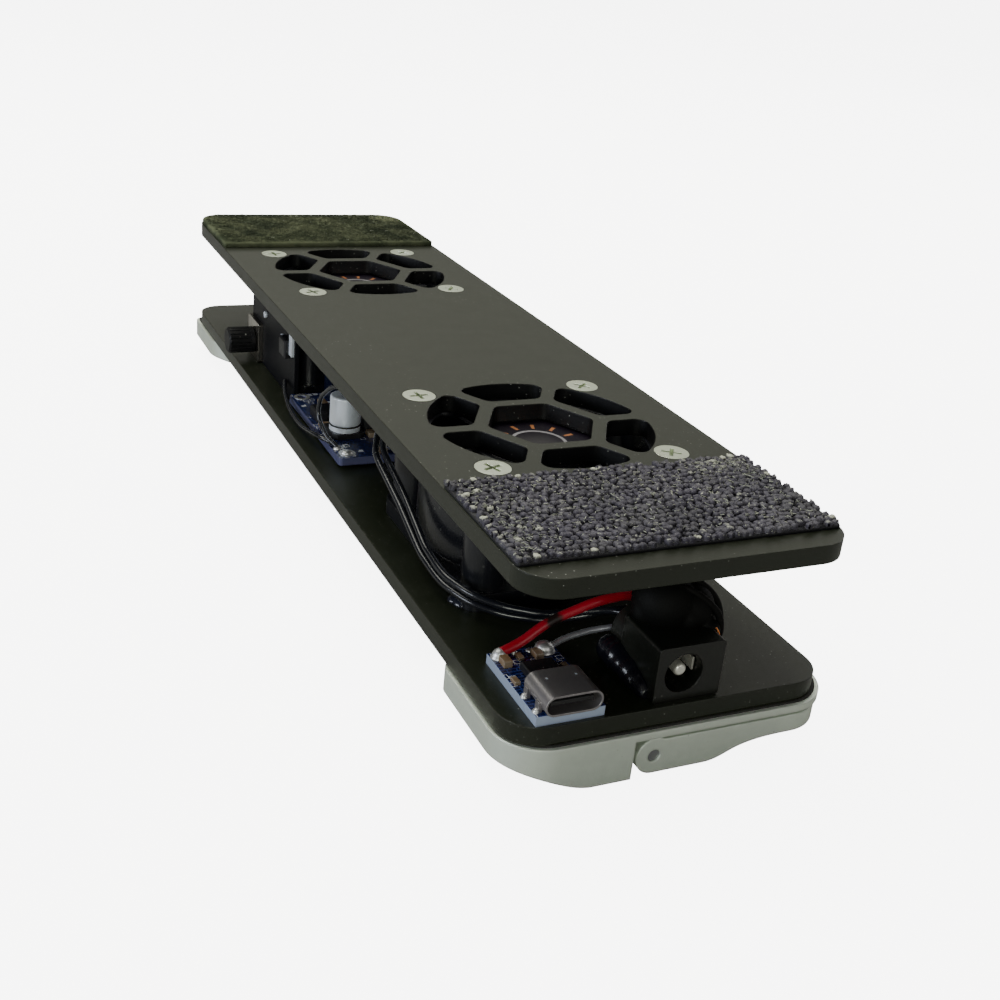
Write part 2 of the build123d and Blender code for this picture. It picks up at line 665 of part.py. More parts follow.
tabs = []
for x, z in ((JACK_X, jack_z), (jack_right - 2.6, jack_z + 1.6)):
    tabs.append(block(x - 1.1, x + 1.1, jack_y1, jack_y1 + 2.4, z - 0.25, z + 0.25))
save(Compound(children=[pin, contact] + tabs), "jack_contacts")

# hardened glue heaped over the jack and its right side, and a bead of it along the jack's left foot
jack_top = LOWER_TOP + JACK_HEIGHT
glue = at(Sphere(5.2), jack_left + 5.6, jack_y0 + 10.2, jack_top + 2.1)
glue += at(Sphere(4.8), jack_right - 1.3, jack_y0 + 9.5, jack_top + 1.1)
glue += at(Sphere(3.4), jack_right + 1.3, jack_y0 + 8.0, jack_top - 1.7)
glue += at(Sphere(2.2), jack_right + 0.3, jack_y0 + 4.5, jack_top - 1.3)
glue -= jack
glue -= block(jack_left - 5, jack_right, jack_y0 - 5, jack_y1 + 10, 0, jack_top)
glue -= block(-30, 30, jack_y1 + 0.2, 0, 0, 100)
glue &= block(-30, 30, -110, 0, LOWER_TOP, UPPER_BOTTOM)
glue_solid = max(glue.solids(), key=lambda s: s.volume)
bead_x = jack_left - 0.1
bead_z = LOWER_TOP + 1.5
bead = rod_y(BEAD_RADIUS, jack_y0 + 4.5, jack_y1 + 0.2, bead_x, bead_z)
bead += at(Cone(BEAD_RADIUS, 0.4, 2.9, rotation=(90, 0, 0)), bead_x, jack_y0 + 3.05, bead_z)
bead -= block(jack_left, jack_right, jack_y0 - 5, jack_y1 + 5, 0, jack_top)
bead &= block(-30, 30, -110, 0, LOWER_TOP, UPPER_BOTTOM)
save(Compound(children=[glue_solid, bead]), "jack_glue")

# ================================================================ step-up converter
conv_left = CONVERTER_X - CONVERTER_WIDTH / 2
conv_right = CONVERTER_X + CONVERTER_WIDTH / 2
conv_back = CONVERTER_FRONT + CONVERTER_LENGTH
conv_z0 = LOWER_TOP + CONVERTER_TAPE
conv_z1 = conv_z0 + BOARD_THICKNESS
tape = block(conv_left + 2, conv_right - 2, CONVERTER_FRONT + 5, conv_back - 5, LOWER_TOP, conv_z0)
save(tape, "converter_tape")
board = upright(
    rounded_plan(conv_left, conv_right, CONVERTER_FRONT, conv_back, 0.8, 0.8, 0.8, 0.8), conv_z0, conv_z1
)
pad_places = []
for sx in (-1, 1):
    for y in (CONVERTER_FRONT + 2.2, conv_back - 2.2):
        pad_places.append((CONVERTER_X + sx * (CONVERTER_WIDTH / 2 - 2.2), y))
for x, y in pad_places:
    board -= rod(0.9, conv_z0 - 1, conv_z1 + 1, x, y)
save(board, "converter_board")
pads = [ring(1.7, 0.95, conv_z1, conv_z1 + 0.12, x, y) for x, y in pad_places]
save(Compound(children=pads), "converter_solder_pads")


def can(x, y):
    """An aluminium electrolytic capacitor: rolled bottom edge and slightly domed rim."""
    z0 = conv_z1 + CAN_BASE
    body = rod(CAN_RADIUS, z0, z0 + CAN_HEIGHT, x, y)
    groove = ring(CAN_RADIUS + 1, CAN_RADIUS - 0.25, z0 + 1.0, z0 + 1.5, x, y)
    body -= groove
    return fillet(body.edges().group_by(Axis.Z)[-1], 0.4)


can_places = ((-17.4, 2.7), (-4.75, conv_back - 8.85))
save(Compound(children=[can(x, y) for x, y in can_places]), "converter_capacitors")
bases = []
foot_half = CAN_RADIUS + 0.2
for x, y in can_places:
    base = block(x - foot_half, x + foot_half, y - foot_half, y + foot_half, conv_z1, conv_z1 + CAN_BASE)
    bases.append(chamfer(base.edges().filter_by(Axis.Z).group_by(Axis.Y)[0], 0.9))
save(Compound(children=bases), "capacitor_bases")

coil_x = -7.0
coil_y = CONVERTER_FRONT + CONVERTER_LENGTH / 2 - 0.3
coil_case = block(coil_x - 6, coil_x + 6, coil_y - 6, coil_y + 6, conv_z1, conv_z1 + 7)
coil_case = chamfer(coil_case.edges().filter_by(Axis.Z), 1.5)
save(coil_case, "inductor")
regulator = block(-21.2, -15.9, 9.2, 14.4, conv_z1, conv_z1 + 2.2)
regulator = chamfer(regulator.edges().group_by(Axis.Z)[-1], 0.3)
diode = block(-12.6, -8.2, -5.6, -2.4, conv_z1, conv_z1 + 2.1)
diode = chamfer(diode.edges().group_by(Axis.Z)[-1], 0.3)
save(Compound(children=[regulator, diode]), "converter_chips")
small = []
for x, y, w, d, h in (
    (-13.2, -8.0, 2.0, 1.2, 0.9),
    (-12.6, 0.5, 1.4, 2.2, 1.0),
    (-20.2, 7.5, 2.2, 1.2, 0.6),
    (-5.2, 0.3, 1.6, 2.6, 1.1),
    (-17.2, 18.6, 1.6, 2.6, 1.1),
):
    small.append(block(x - w / 2, x + w / 2, y - d / 2, y + d / 2, conv_z1, conv_z1 + h))
save(Compound(children=small), "converter_small_parts")
trim_x0 = -14.7
trim_y = conv_back - 3.0
trimmer = block(trim_x0, trim_x0 + 9.3, trim_y - 2.4, trim_y + 2.4, conv_z1, conv_z1 + 9.5)
trim_axis_x = trim_x0 + 1.6
trim_top = conv_z1 + 9.5
trimmer -= rod(1.15, trim_top - 1.6, trim_top + 1, trim_axis_x, trim_y)
save(trimmer, "trimmer_body")
trim_screw = rod(1.1, trim_top - 1.5, trim_top + 0.5, trim_axis_x, trim_y)
trim_screw -= block(trim_axis_x - 2, trim_axis_x + 2, trim_y - 0.2, trim_y + 0.2, trim_top - 0.1, trim_top + 1)
save(trim_screw, "trimmer_screw")

# ================================================================ fan speed control
control_x1 = -FAN_SIZE / 2 - CONTROL_GAP
control_x0 = control_x1 - CONTROL_THICKNESS
control_y1 = POT_Y + POT_WIDTH / 2
control_y0 = control_y1 - CONTROL_LENGTH
save(block(control_x0, control_x1, control_y0, control_y1, LOWER_TOP, LOWER_TOP + CONTROL_HEIGHT), "control_board")
pot_x0 = control_x0 - POT_THICKNESS
pot_z = LOWER_TOP + 4.4
pot = block(pot_x0, control_x0, POT_Y - POT_WIDTH / 2, control_y1, LOWER_TOP, LOWER_TOP + POT_HEIGHT)
pot = fillet(pot.edges().filter_by(Axis.X), 0.6)
pot -= rod_x(1.55, pot_x0 - 1, control_x0 - 0.2, POT_Y, pot_z)
save(pot, "speed_control_body")
KNOB_END = pot_x0 - KNOB_LENGTH
knob = rod_x(KNOB_RADIUS, KNOB_END, pot_x0 - 0.15, POT_Y, pot_z)
knob = chamfer(knob.edges().group_by(Axis.X)[0], 0.4)
KNURL_COUNT = 18
for i in range(KNURL_COUNT):
    a = 2 * pi * i / KNURL_COUNT
    y = POT_Y + (KNOB_RADIUS + 0.12) * cos(a)
    z = pot_z + (KNOB_RADIUS + 0.12) * sin(a)
    knob -= rod_x(0.28, KNOB_END - 1, pot_x0 - 1.0, y, z)
knob += rod_x(1.5, pot_x0 - 0.2, control_x0 - 0.3, POT_Y, pot_z)
save(knob, "speed_knob")
tab_y = control_y0 + 5.0
tab_z = LOWER_TOP + 11.1
transistor = block(control_x0 - 1.6, control_x0, tab_y - 2.2, tab_y + 2.2, tab_z - 2.0, tab_z + 2.0)
save(chamfer(transistor.edges().group_by(Axis.X)[0], 0.3), "control_transistor")
lug = block(control_x0 - 0.6, control_x0, tab_y - 4.4, tab_y - 2.25, tab_z - 1.0, tab_z + 3.6)
rivets = [lug]
for y, z in ((control_y0 + 9.2, LOWER_TOP + 11.9), (control_y0 + 23.7, LOWER_TOP + 12.6)):
    rivets.append(rod_x(0.75, control_x0 - 0.5, control_x0, y, z))
save(Compound(children=rivets), "control_metal_parts")


# ================================================================ wires
def tube(points, diameter, name):
    """A round wire: straight runs joined by tangent arcs."""
    steps = [(Vector(*b) - Vector(*a)) for a, b in zip(points, points[1:])]
    radii = []
    for first, second in zip(steps, steps[1:]):
        half_turn = radians(first.get_angle(second)) / 2
        radii.append(0.45 * min(first.length, second.length) / tan(half_turn))
    path = FilletPolyline(*points, radius=radii)
    start = Plane(origin=points[0], z_dir=steps[0])
    solid = sweep(start * Circle(diameter / 2), path=path)
    expected = pi * diameter * diameter / 4 * path.length
    ratio = solid.volume / expected
    print(f"{name}: length {path.length:.1f}, volume ratio {ratio:.4f}, least radius {min(radii):.2f}")
    return solid


def twist(points, phase):
    """Lay one wire of a pair beside a centre line that they both turn slowly round."""
    route = FilletPolyline(*points, radius=5.0)
    total = route.length
    count = int(total / PAIR_STEP_LENGTH)
    places = []
    for i in range(count + 1):
        t = i / count
        centre = route.position_at(t)
        along = route.tangent_at(t)
        side = Vector(0, 0, 1).cross(along).normalized()
        other = along.cross(side).normalized()
        a = radians(PAIR_TURN * t + phase)
        spot = centre + side * (PAIR_TWIST_RADIUS * cos(a)) + other * (PAIR_TWIST_RADIUS * sin(a))
        places.append((spot.X, spot.Y, spot.Z))
    return places


PAIR_STEP_LENGTH = 2.9
usb_pad_z = BOARD_TOP + SUPPLY_WIRE_DIAMETER / 2 + 0.05
red_start = (usb_left + 1.6, usb_back - 1.4, usb_pad_z)
red_route = [
    red_start,
    (red_start[0] + 3.4, usb_back - 0.6, usb_pad_z + 0.6),
    (-13.0, usb_back + 0.4, usb_pad_z + 2.9),
    (-5.6, usb_back - 0.4, usb_pad_z + 5.8),
    (-0.6, jack_y1 + 2.6, usb_pad_z + 6.0),
    (1.9, jack_y1 + 2.2, jack_z + 3.6),
    (jack_right - 2.9, jack_y1 + 1.3, jack_z + 1.85 + SUPPLY_WIRE_DIAMETER / 2 + 0.05),
]
save(tube(red_route, SUPPLY_WIRE_DIAMETER, "usb_red_wire"), "usb_red_wire")
black_pad_z = BOARD_TOP + RETURN_WIRE_DIAMETER / 2 + 0.05
black_route = [
    (usb_right - 1.6, usb_back - 1.6, black_pad_z),
    (usb_right + 2.0, usb_back - 0.1, black_pad_z + 0.25),
    (-6.0, usb_back + 0.3, black_pad_z + 0.6),
    (-2.9, jack_y1 + 2.3, black_pad_z + 1.1),
    (JACK_X - 0.4, jack_y1 + 1.4, jack_z - 0.25 - RETURN_WIRE_DIAMETER / 2 - 0.05),
]
save(tube(black_route, RETURN_WIRE_DIAMETER, "usb_black_wire"), "usb_black_wire")

pair_centre = [
    (-14.6, CONVERTER_FRONT - 6.0, LOWER_TOP + 8.6),
    (-18.4, -21.5, LOWER_TOP + 12.6),
    (-22.3, -31.0, LOWER_TOP + 12.2),
    (-22.4, -44.0, LOWER_TOP + 8.8),
    (-22.6, -55.0, LOWER_TOP + 4.9),
    (-22.5, -63.0, LOWER_TOP + 4.0),
    (-20.4, -69.6, LOWER_TOP + 3.6),
    (-16.0, -73.2, LOWER_TOP + 2.7),
    (-10.5, -76.2, LOWER_TOP + 2.4),
    (-5.5, -77.8, LOWER_TOP + 3.2),
]
pair_ends = (
    (
        0.0,
        [(-6.4, -7.0, conv_z1 + PAIR_WIRE_DIAMETER / 2 + 0.03), (-8.6, -10.6, conv_z1 + 3.0)],
        [(-1.6, -80.6, jack_z + 0.5), (JACK_X + 0.2, jack_y1 + 1.3, jack_z + 0.36 + PAIR_WIRE_DIAMETER / 2)],
    ),
    (
        180.0,
        [(-9.6, -7.0, conv_z1 + PAIR_WIRE_DIAMETER / 2 + 0.03), (-11.2, -10.6, conv_z1 + 3.0)],
        [
            (0.4, -79.8, jack_z + 0.1),
            (jack_right - 2.8, jack_y1 + 1.3, jack_z + 1.24 - PAIR_WIRE_DIAMETER / 2),
        ],
    ),
)
pair = []
for phase, head, tail in pair_ends:
    pair.append(tube(head + twist(pair_centre, phase) + tail, PAIR_WIRE_DIAMETER, "supply pair"))
save(Compound(children=pair), "supply_wire_pair")

lead_z = conv_z1 + THIN_WIRE_DIAMETER / 2 + 0.03
lead_up = [
    (conv_left + 0.9, CONVERTER_FRONT + 4.6, lead_z),
    (-23.0, -2.4, lead_z + 1.4),
    (-23.5, 1.6, lead_z + 4.4),
    (-23.2, 1.2, lead_z + 8.2),
    (-22.2, -4.0, lead_z + 12.6),
    (-19.0, -14.0, lead_z + 14.6),
    (-15.0, -22.0, lead_z + 13.4),
    (-14.0, FRONT_FAN_Y + FAN_SIZE / 2 + THIN_WIRE_DIAMETER / 2 + 0.03, UPPER_BOTTOM - FAN_FLANGE / 2),
]
lead_back = [
    (conv_left + 0.9, CONVERTER_FRONT + 6.0, lead_z),
    (-23.9, 0.6, lead_z + 0.4),
    (-24.4, 10.0, LOWER_TOP + 1.2),
    (-24.0, 20.0, LOWER_TOP + 1.2),
    (-23.0, 27.5, LOWER_TOP + 2.6),
    (control_x0 - THIN_WIRE_DIAMETER / 2 - 0.03, control_y0 + 5.4, LOWER_TOP + 3.2),
]
leads = []
for name, run in (("lead to the front fan", lead_up), ("lead to the speed control", lead_back)):
    leads.append(tube(run, THIN_WIRE_DIAMETER, name))
save(Compound(children=leads), "fan_leads")
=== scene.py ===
"""Looks for a two-fan laptop cooling stand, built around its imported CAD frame.

Everything is in metres in the part's own frame: X across the stand, Y along it, Z up, the table at Z = 0.
"""

import sys

import logging
import math
import random
from dataclasses import dataclass, field
from enum import Enum
from typing import Callable, Iterable, Sequence

import bmesh
import bpy
from mathutils import Matrix, Vector

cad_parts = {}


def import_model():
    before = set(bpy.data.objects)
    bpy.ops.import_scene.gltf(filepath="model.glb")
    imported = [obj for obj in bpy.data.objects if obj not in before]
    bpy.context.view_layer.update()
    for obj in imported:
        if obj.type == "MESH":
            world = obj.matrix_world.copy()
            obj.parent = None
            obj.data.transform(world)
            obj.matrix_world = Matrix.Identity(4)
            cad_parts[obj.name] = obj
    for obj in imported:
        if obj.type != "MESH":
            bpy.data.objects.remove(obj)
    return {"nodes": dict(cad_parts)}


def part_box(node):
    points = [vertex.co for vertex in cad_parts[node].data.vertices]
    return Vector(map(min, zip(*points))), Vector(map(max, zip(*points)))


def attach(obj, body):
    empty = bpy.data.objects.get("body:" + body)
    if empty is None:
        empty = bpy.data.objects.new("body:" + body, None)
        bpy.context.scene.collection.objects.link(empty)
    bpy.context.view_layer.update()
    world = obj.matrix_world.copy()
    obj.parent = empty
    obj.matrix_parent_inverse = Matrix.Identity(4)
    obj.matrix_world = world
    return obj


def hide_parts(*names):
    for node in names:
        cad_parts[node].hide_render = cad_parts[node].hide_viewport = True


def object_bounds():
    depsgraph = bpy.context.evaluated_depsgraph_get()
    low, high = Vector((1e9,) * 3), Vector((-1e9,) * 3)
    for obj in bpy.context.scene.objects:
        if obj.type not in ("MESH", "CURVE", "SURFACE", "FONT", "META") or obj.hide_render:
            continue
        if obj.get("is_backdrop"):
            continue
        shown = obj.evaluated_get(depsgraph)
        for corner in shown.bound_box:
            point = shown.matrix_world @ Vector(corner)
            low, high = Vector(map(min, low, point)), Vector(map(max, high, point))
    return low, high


LOG = logging.getLogger("stand")
MM = 0.001
Colour = tuple[float, float, float]
Point = tuple[float, float, float]


class End(Enum):
    """Which end of the stand a sub-assembly belongs to."""

    FRONT = "front"
    REAR = "rear"


class Pile(Enum):
    """The two kinds of grip pile."""

    KNOBS = "knobs"
    FLEECE = "fleece"


class Body(Enum):
    """CAD bodies that pieces ride on."""

    CHASSIS = "chassis"


# ---------------------------------------------------------------------------------------------
# Shader building
# ---------------------------------------------------------------------------------------------
class Graph:
    """A small helper that adds and wires shader nodes."""

    def __init__(self, tree: bpy.types.NodeTree) -> None:
        """Start on an existing node tree.

        Args:
            tree: The material's tree or a group's tree.
        """
        self.tree = tree
        self.count = 0

    def node(self, kind: str, **settings: object) -> bpy.types.Node:
        """Add one node.

        Args:
            kind: Blender's node type name.
            **settings: Attributes to set on the node.

        Returns:
            The new node.
        """
        made = self.tree.nodes.new(kind)
        made.location = (180 * (self.count % 12), -220 * (self.count // 12))
        self.count += 1
        for key, value in settings.items():
            setattr(made, key, value)
        return made

    def join(self, source: bpy.types.NodeSocket, target: bpy.types.NodeSocket) -> None:
        """Link one socket to another.

        Args:
            source: The output socket.
            target: The input socket.
        """
        self.tree.links.new(source, target)

    def put(self, value: object, target: bpy.types.NodeSocket) -> None:
        """Feed a socket from another socket or with a constant.

        Args:
            value: A socket, a number or a tuple.
            target: The input socket.
        """
        if isinstance(value, bpy.types.NodeSocket):
            self.join(value, target)
        elif isinstance(value, tuple) and len(value) == 3 and len(target.default_value) == 4:
            target.default_value = (*value, 1.0)
        else:
            target.default_value = value

    def math(self, operation: str, *values: object, clamp: bool = False) -> bpy.types.NodeSocket:
        """Add a Math node.

        Args:
            operation: The Math operation.
            *values: Its inputs, sockets or numbers.
            clamp: Whether the result is held from 0 to 1.

        Returns:
            The result socket.
        """
        made = self.node("ShaderNodeMath", operation=operation, use_clamp=clamp)
        for i, value in enumerate(values):
            self.put(value, made.inputs[i])
        return made.outputs[0]

    def mix(self, factor: object, first: object, second: object) -> bpy.types.NodeSocket:
        """Mix two colours.

        Args:
            factor: 0 gives the first colour, 1 the second.
            first: The first colour.
            second: The second colour.

        Returns:
            The mixed colour socket.
        """
        made = self.node("ShaderNodeMix", data_type="RGBA")
        self.put(factor, made.inputs[0])
        self.put(first, made.inputs[6])
        self.put(second, made.inputs[7])
        return made.outputs[2]

    def ramp(self, value: object, stops: Sequence[tuple[float, Colour]]) -> bpy.types.NodeSocket:
        """Map a value through a colour ramp.

        Args:
            value: The value socket.
            stops: Positions and colours.

        Returns:
            The ramp's colour socket.
        """
        made = self.node("ShaderNodeValToRGB")
        self.put(value, made.inputs[0])
        band = made.color_ramp
        while len(band.elements) < len(stops):
            band.elements.new(0.5)
        for element, (place, colour) in zip(band.elements, stops):
            element.position = place
            element.color = (*colour, 1.0)
        return made.outputs[0]

    def noise(self, vector: object, scale: object, detail: float = 3.0, rough: float = 0.55) -> bpy.types.NodeSocket:
        """Add a noise texture.

        Args:
            vector: Where it is read.
            scale: Its scale, per metre.
            detail: Octaves.
            rough: How strong the finer octaves are.

        Returns:
            The value socket.
        """
        made = self.node("ShaderNodeTexNoise")
        self.join(vector, made.inputs["Vector"])
        self.put(scale, made.inputs["Scale"])
        made.inputs["Detail"].default_value = detail
        made.inputs["Roughness"].default_value = rough
        return made.outputs[0]

    def between(self, value: object, low: float, high: float) -> bpy.types.NodeSocket:
        """Turn a value into a smooth 0 to 1 step.

        Args:
            value: The value socket.
            low: Where the step starts.
            high: Where the step ends.

        Returns:
            The stepped value.
        """
        made = self.node("ShaderNodeMapRange", interpolation_type="SMOOTHSTEP")
        self.put(value, made.inputs["Value"])
        made.inputs["From Min"].default_value = low
        made.inputs["From Max"].default_value = high
        return made.outputs[0]


class Effects:
    """Shader node groups that several finishes share. Each is built once."""

    _made: dict[str, bpy.types.NodeTree] = {}

    @classmethod
    def _group(
        cls,
        name: str,
        inputs: Sequence[tuple[str, str, object]],
        outputs: Sequence[tuple[str, str]],
        build: Callable[[Graph, bpy.types.Node, bpy.types.Node], None],
    ) -> bpy.types.NodeTree:
        """Make a group on first use and hand it back afterwards.

        Args:
            name: The group's name.
            inputs: Name, socket type and default of each input.
            outputs: Name and socket type of each output.
            build: Fills the group, given its graph, input node and output node.

        Returns:
            The group's tree.
        """
        if name in cls._made:
            return cls._made[name]
        tree = bpy.data.node_groups.new(name, "ShaderNodeTree")
        for label, kind, default in inputs:
            made = tree.interface.new_socket(name=label, in_out="INPUT", socket_type=kind)
            if default is not None:
                made.default_value = default
        for label, kind in outputs:
            tree.interface.new_socket(name=label, in_out="OUTPUT", socket_type=kind)
        graph = Graph(tree)
        build(graph, graph.node("NodeGroupInput"), graph.node("NodeGroupOutput"))
        cls._made[name] = tree
        return tree

    @classmethod
    def grain(cls) -> bpy.types.NodeTree:
        """Fine surface grain with a slower drift under it.

        Returns:
            A group with Fine (0 to 1), Drift (0 to 1) and Height outputs.
        """

        def build(g: Graph, given: bpy.types.Node, out: bpy.types.Node) -> None:
            """Fill the group."""
            at = g.node("ShaderNodeTexCoord").outputs["Object"]
            fine = g.noise(at, given.outputs["Scale"], 4.0, 0.6)
            slow = g.noise(at, g.math("MULTIPLY", given.outputs["Scale"], 0.035), 3.0, 0.5)
            g.join(fine, out.inputs["Fine"])
            g.join(slow, out.inputs["Drift"])
            g.join(g.math("MULTIPLY", fine, given.outputs["Depth"]), out.inputs["Height"])

        number = "NodeSocketFloat"
        return cls._group(
            "fine grain",
            [("Scale", number, 1500.0), ("Depth", number, 1.0)],
            [("Fine", number), ("Drift", number), ("Height", number)],
            build,
        )

    @classmethod
    def edge_highlight(cls) -> bpy.types.NodeTree:
        """A mask of a solid's sharp edges for a painted highlight, and a normal that rounds them over.

        Returns:
            A group with Mask and Normal outputs.
        """

        def build(g: Graph, given: bpy.types.Node, out: bpy.types.Node) -> None:
            """Fill the group."""
            bevel = g.node("ShaderNodeBevel", samples=4)
            g.join(given.outputs["Radius"], bevel.inputs["Radius"])
            true = g.node("ShaderNodeNewGeometry").outputs["Normal"]
            dot = g.node("ShaderNodeVectorMath", operation="DOT_PRODUCT")
            g.join(bevel.outputs[0], dot.inputs[0])
            g.join(true, dot.inputs[1])
            turned = g.math("SUBTRACT", 1.0, dot.outputs["Value"])
            at = g.node("ShaderNodeTexCoord").outputs["Object"]
            broken = g.between(g.noise(at, 900.0, 4.0), 0.35, 0.62)
            mask = g.math("MULTIPLY", g.math("MULTIPLY", turned, given.outputs["Strength"]), broken, clamp=True)
            g.join(mask, out.inputs["Mask"])
            g.join(bevel.outputs[0], out.inputs["Normal"])

        return cls._group(
            "painted edge highlight",
            [("Radius", "NodeSocketFloat", 0.0003), ("Strength", "NodeSocketFloat", 3.0)],
            [("Mask", "NodeSocketFloat"), ("Normal", "NodeSocketVector")],
            build,
        )

    @classmethod
    def dust(cls) -> bpy.types.NodeTree:
        """Scattered specks of dust, thicker in some places than in others.

        Returns:
            A group with a Mask output.
        """

        def build(g: Graph, given: bpy.types.Node, out: bpy.types.Node) -> None:
            """Fill the group."""
            at = g.node("ShaderNodeTexCoord").outputs["Object"]
            cells = g.node("ShaderNodeTexVoronoi")
            g.join(at, cells.inputs["Vector"])
            g.join(given.outputs["Scale"], cells.inputs["Scale"])
            cells.inputs["Randomness"].default_value = 1.0
            near = g.math("SUBTRACT", given.outputs["Size"], cells.outputs["Distance"])
            speck = g.math("MULTIPLY", near, 18.0, clamp=True)
            pick = g.node("ShaderNodeSeparateColor")
            g.join(cells.outputs["Color"], pick.inputs[0])
            some = g.between(pick.outputs[0], 0.55, 0.75)
            patch = g.between(g.noise(at, 45.0, 3.0), 0.4, 0.65)
            mask = g.math("MULTIPLY", g.math("MULTIPLY", speck, some), patch, clamp=True)
            g.join(g.math("MULTIPLY", mask, given.outputs["Amount"], clamp=True), out.inputs["Mask"])

        number = "NodeSocketFloat"
        return cls._group(
            "dust specks",
            [("Scale", number, 700.0), ("Size", number, 0.16), ("Amount", number, 1.0)],
            [("Mask", number)],
            build,
        )


@dataclass(frozen=True)
class Finish:
    """How one kind of surface looks.

    Attributes:
        name: The material's name.
        slot: The record's material slot; not used.
        colour: The main colour, linear.
        second: The colour it drifts towards.
        rough: Roughness.
        rough_drift: How far the roughness drifts.
        metal: Metallic.
        grain_scale: Grain per metre.
        grain_depth: Height of the grain, in metres.
        specular: Specular level.
        edge_highlight_colour: Lighter colour painted on the edges as a highlight.
        edge_highlight_strength: How strongly the painted edge highlight shows.
        edge_radius: Rounding seen at the edges, in metres.
        dust_amount: How dusty it is.
        dust_colour: Colour of the dust.
        dust_scale: Specks per metre.
        coat: Clear coat weight.
    """

    name: str
    slot: str
    colour: Colour
    second: Colour
    rough: float = 0.5
    rough_drift: float = 0.08
    metal: float = 0.0
    grain_scale: float = 1500.0
    grain_depth: float = 0.00001
    specular: float = 0.5
    # Painted edge highlight: its colour and strength.
    edge_highlight_colour: Colour = (0.3, 0.3, 0.28)
    edge_highlight_strength: float = 0.0
    edge_radius: float = 0.00025
    dust_amount: float = 0.0
    dust_colour: Colour = (0.45, 0.46, 0.42)
    dust_scale: float = 700.0
    coat: float = 0.0

    def pattern(self, g: Graph, colour: bpy.types.NodeSocket) -> bpy.types.NodeSocket:
        """Add printed marks or other patterns. The plain finish adds none.

        Args:
            g: The material's graph.
            colour: The colour so far.

        Returns:
            The colour with the pattern on it.
        """
        return colour

    def material(self) -> bpy.types.Material:
        """Build the material, or return it if it is there already.

        Returns:
            The material.
        """
        made = bpy.data.materials.get(self.name)
        if made:
            return made
        made = bpy.data.materials.new(self.name)
        made.use_nodes = True
        made.node_tree.nodes.clear()
        g = Graph(made.node_tree)
        out = g.node("ShaderNodeOutputMaterial")
        shader = g.node("ShaderNodeBsdfPrincipled")
        g.join(shader.outputs[0], out.inputs[0])
        grain = g.node("ShaderNodeGroup", node_tree=Effects.grain())
        grain.inputs["Scale"].default_value = self.grain_scale
        drift = g.between(grain.outputs["Drift"], 0.3, 0.7)
        colour = g.mix(drift, self.colour, self.second)
        colour = self.pattern(g, colour)
        edge_shine = g.node("ShaderNodeGroup", node_tree=Effects.edge_highlight())
        edge_shine.inputs["Radius"].default_value = self.edge_radius
        edge_shine.inputs["Strength"].default_value = self.edge_highlight_strength
        # Painted edge highlight: the edge mask mixes the colour towards a lighter one.
        if self.edge_highlight_strength:
            colour = g.mix(edge_shine.outputs["Mask"], colour, self.edge_highlight_colour)
        rough = g.math("ADD", self.rough - self.rough_drift / 2, g.math("MULTIPLY", drift, self.rough_drift))
        if self.dust_amount:
            dust = g.node("ShaderNodeGroup", node_tree=Effects.dust())
            dust.inputs["Scale"].default_value = self.dust_scale
            dust.inputs["Amount"].default_value = self.dust_amount
            colour = g.mix(dust.outputs["Mask"], colour, self.dust_colour)
            rough = g.math("ADD", rough, g.math("MULTIPLY", dust.outputs["Mask"], 0.3), clamp=True)
        g.put(colour, shader.inputs["Base Color"])
        g.put(rough, shader.inputs["Roughness"])
        shader.inputs["Metallic"].default_value = self.metal
        shader.inputs["Specular IOR Level"].default_value = self.specular
        if self.coat:
            shader.inputs["Coat Weight"].default_value = self.coat
            shader.inputs["Coat Roughness"].default_value = 0.08
        bump = g.node("ShaderNodeBump")
        bump.inputs["Strength"].default_value = 0.6
        bump.inputs["Distance"].default_value = self.grain_depth
        g.join(grain.outputs["Height"], bump.inputs["Height"])
        g.join(edge_shine.outputs["Normal"], bump.inputs["Normal"])
        g.join(bump.outputs[0], shader.inputs["Normal"])
        return made


@dataclass(frozen=True)
class PlateFinish(Finish):
    """Sheet with painted shade on its grille opening walls, nearly black.

    Attributes:
        painted_wall_shade: Nearly black colour painted on the walls as shade.
        inner: Half the width and length inside which an upright face is a grille wall, in metres.
    """

    painted_wall_shade: Colour = (0.0015, 0.0015, 0.002)
    inner: tuple[float, float] = (0.0255, 0.095)

    def pattern(self, g: Graph, colour: bpy.types.NodeSocket) -> bpy.types.NodeSocket:
        """Paint shade onto the grille walls.

        Args:
            g: The material's graph.
            colour: The sheet's colour.

        Returns:
            The colour with painted shade on the walls.
        """
        place = g.node("ShaderNodeSeparateXYZ")
        g.join(g.node("ShaderNodeTexCoord").outputs["Object"], place.inputs[0])
        facing = g.node("ShaderNodeSeparateXYZ")
        g.join(g.node("ShaderNodeNewGeometry").outputs["Normal"], facing.inputs[0])
        wall = g.math("LESS_THAN", g.math("ABSOLUTE", facing.outputs[2]), 0.5)
        across = g.math("LESS_THAN", g.math("ABSOLUTE", place.outputs[0]), self.inner[0])
        along = g.math("LESS_THAN", g.math("ABSOLUTE", place.outputs[1]), self.inner[1])
        # Painted shade: upright faces inside the grille area go nearly black.
        return g.mix(g.math("MULTIPLY", wall, g.math("MULTIPLY", across, along)), colour, self.painted_wall_shade)


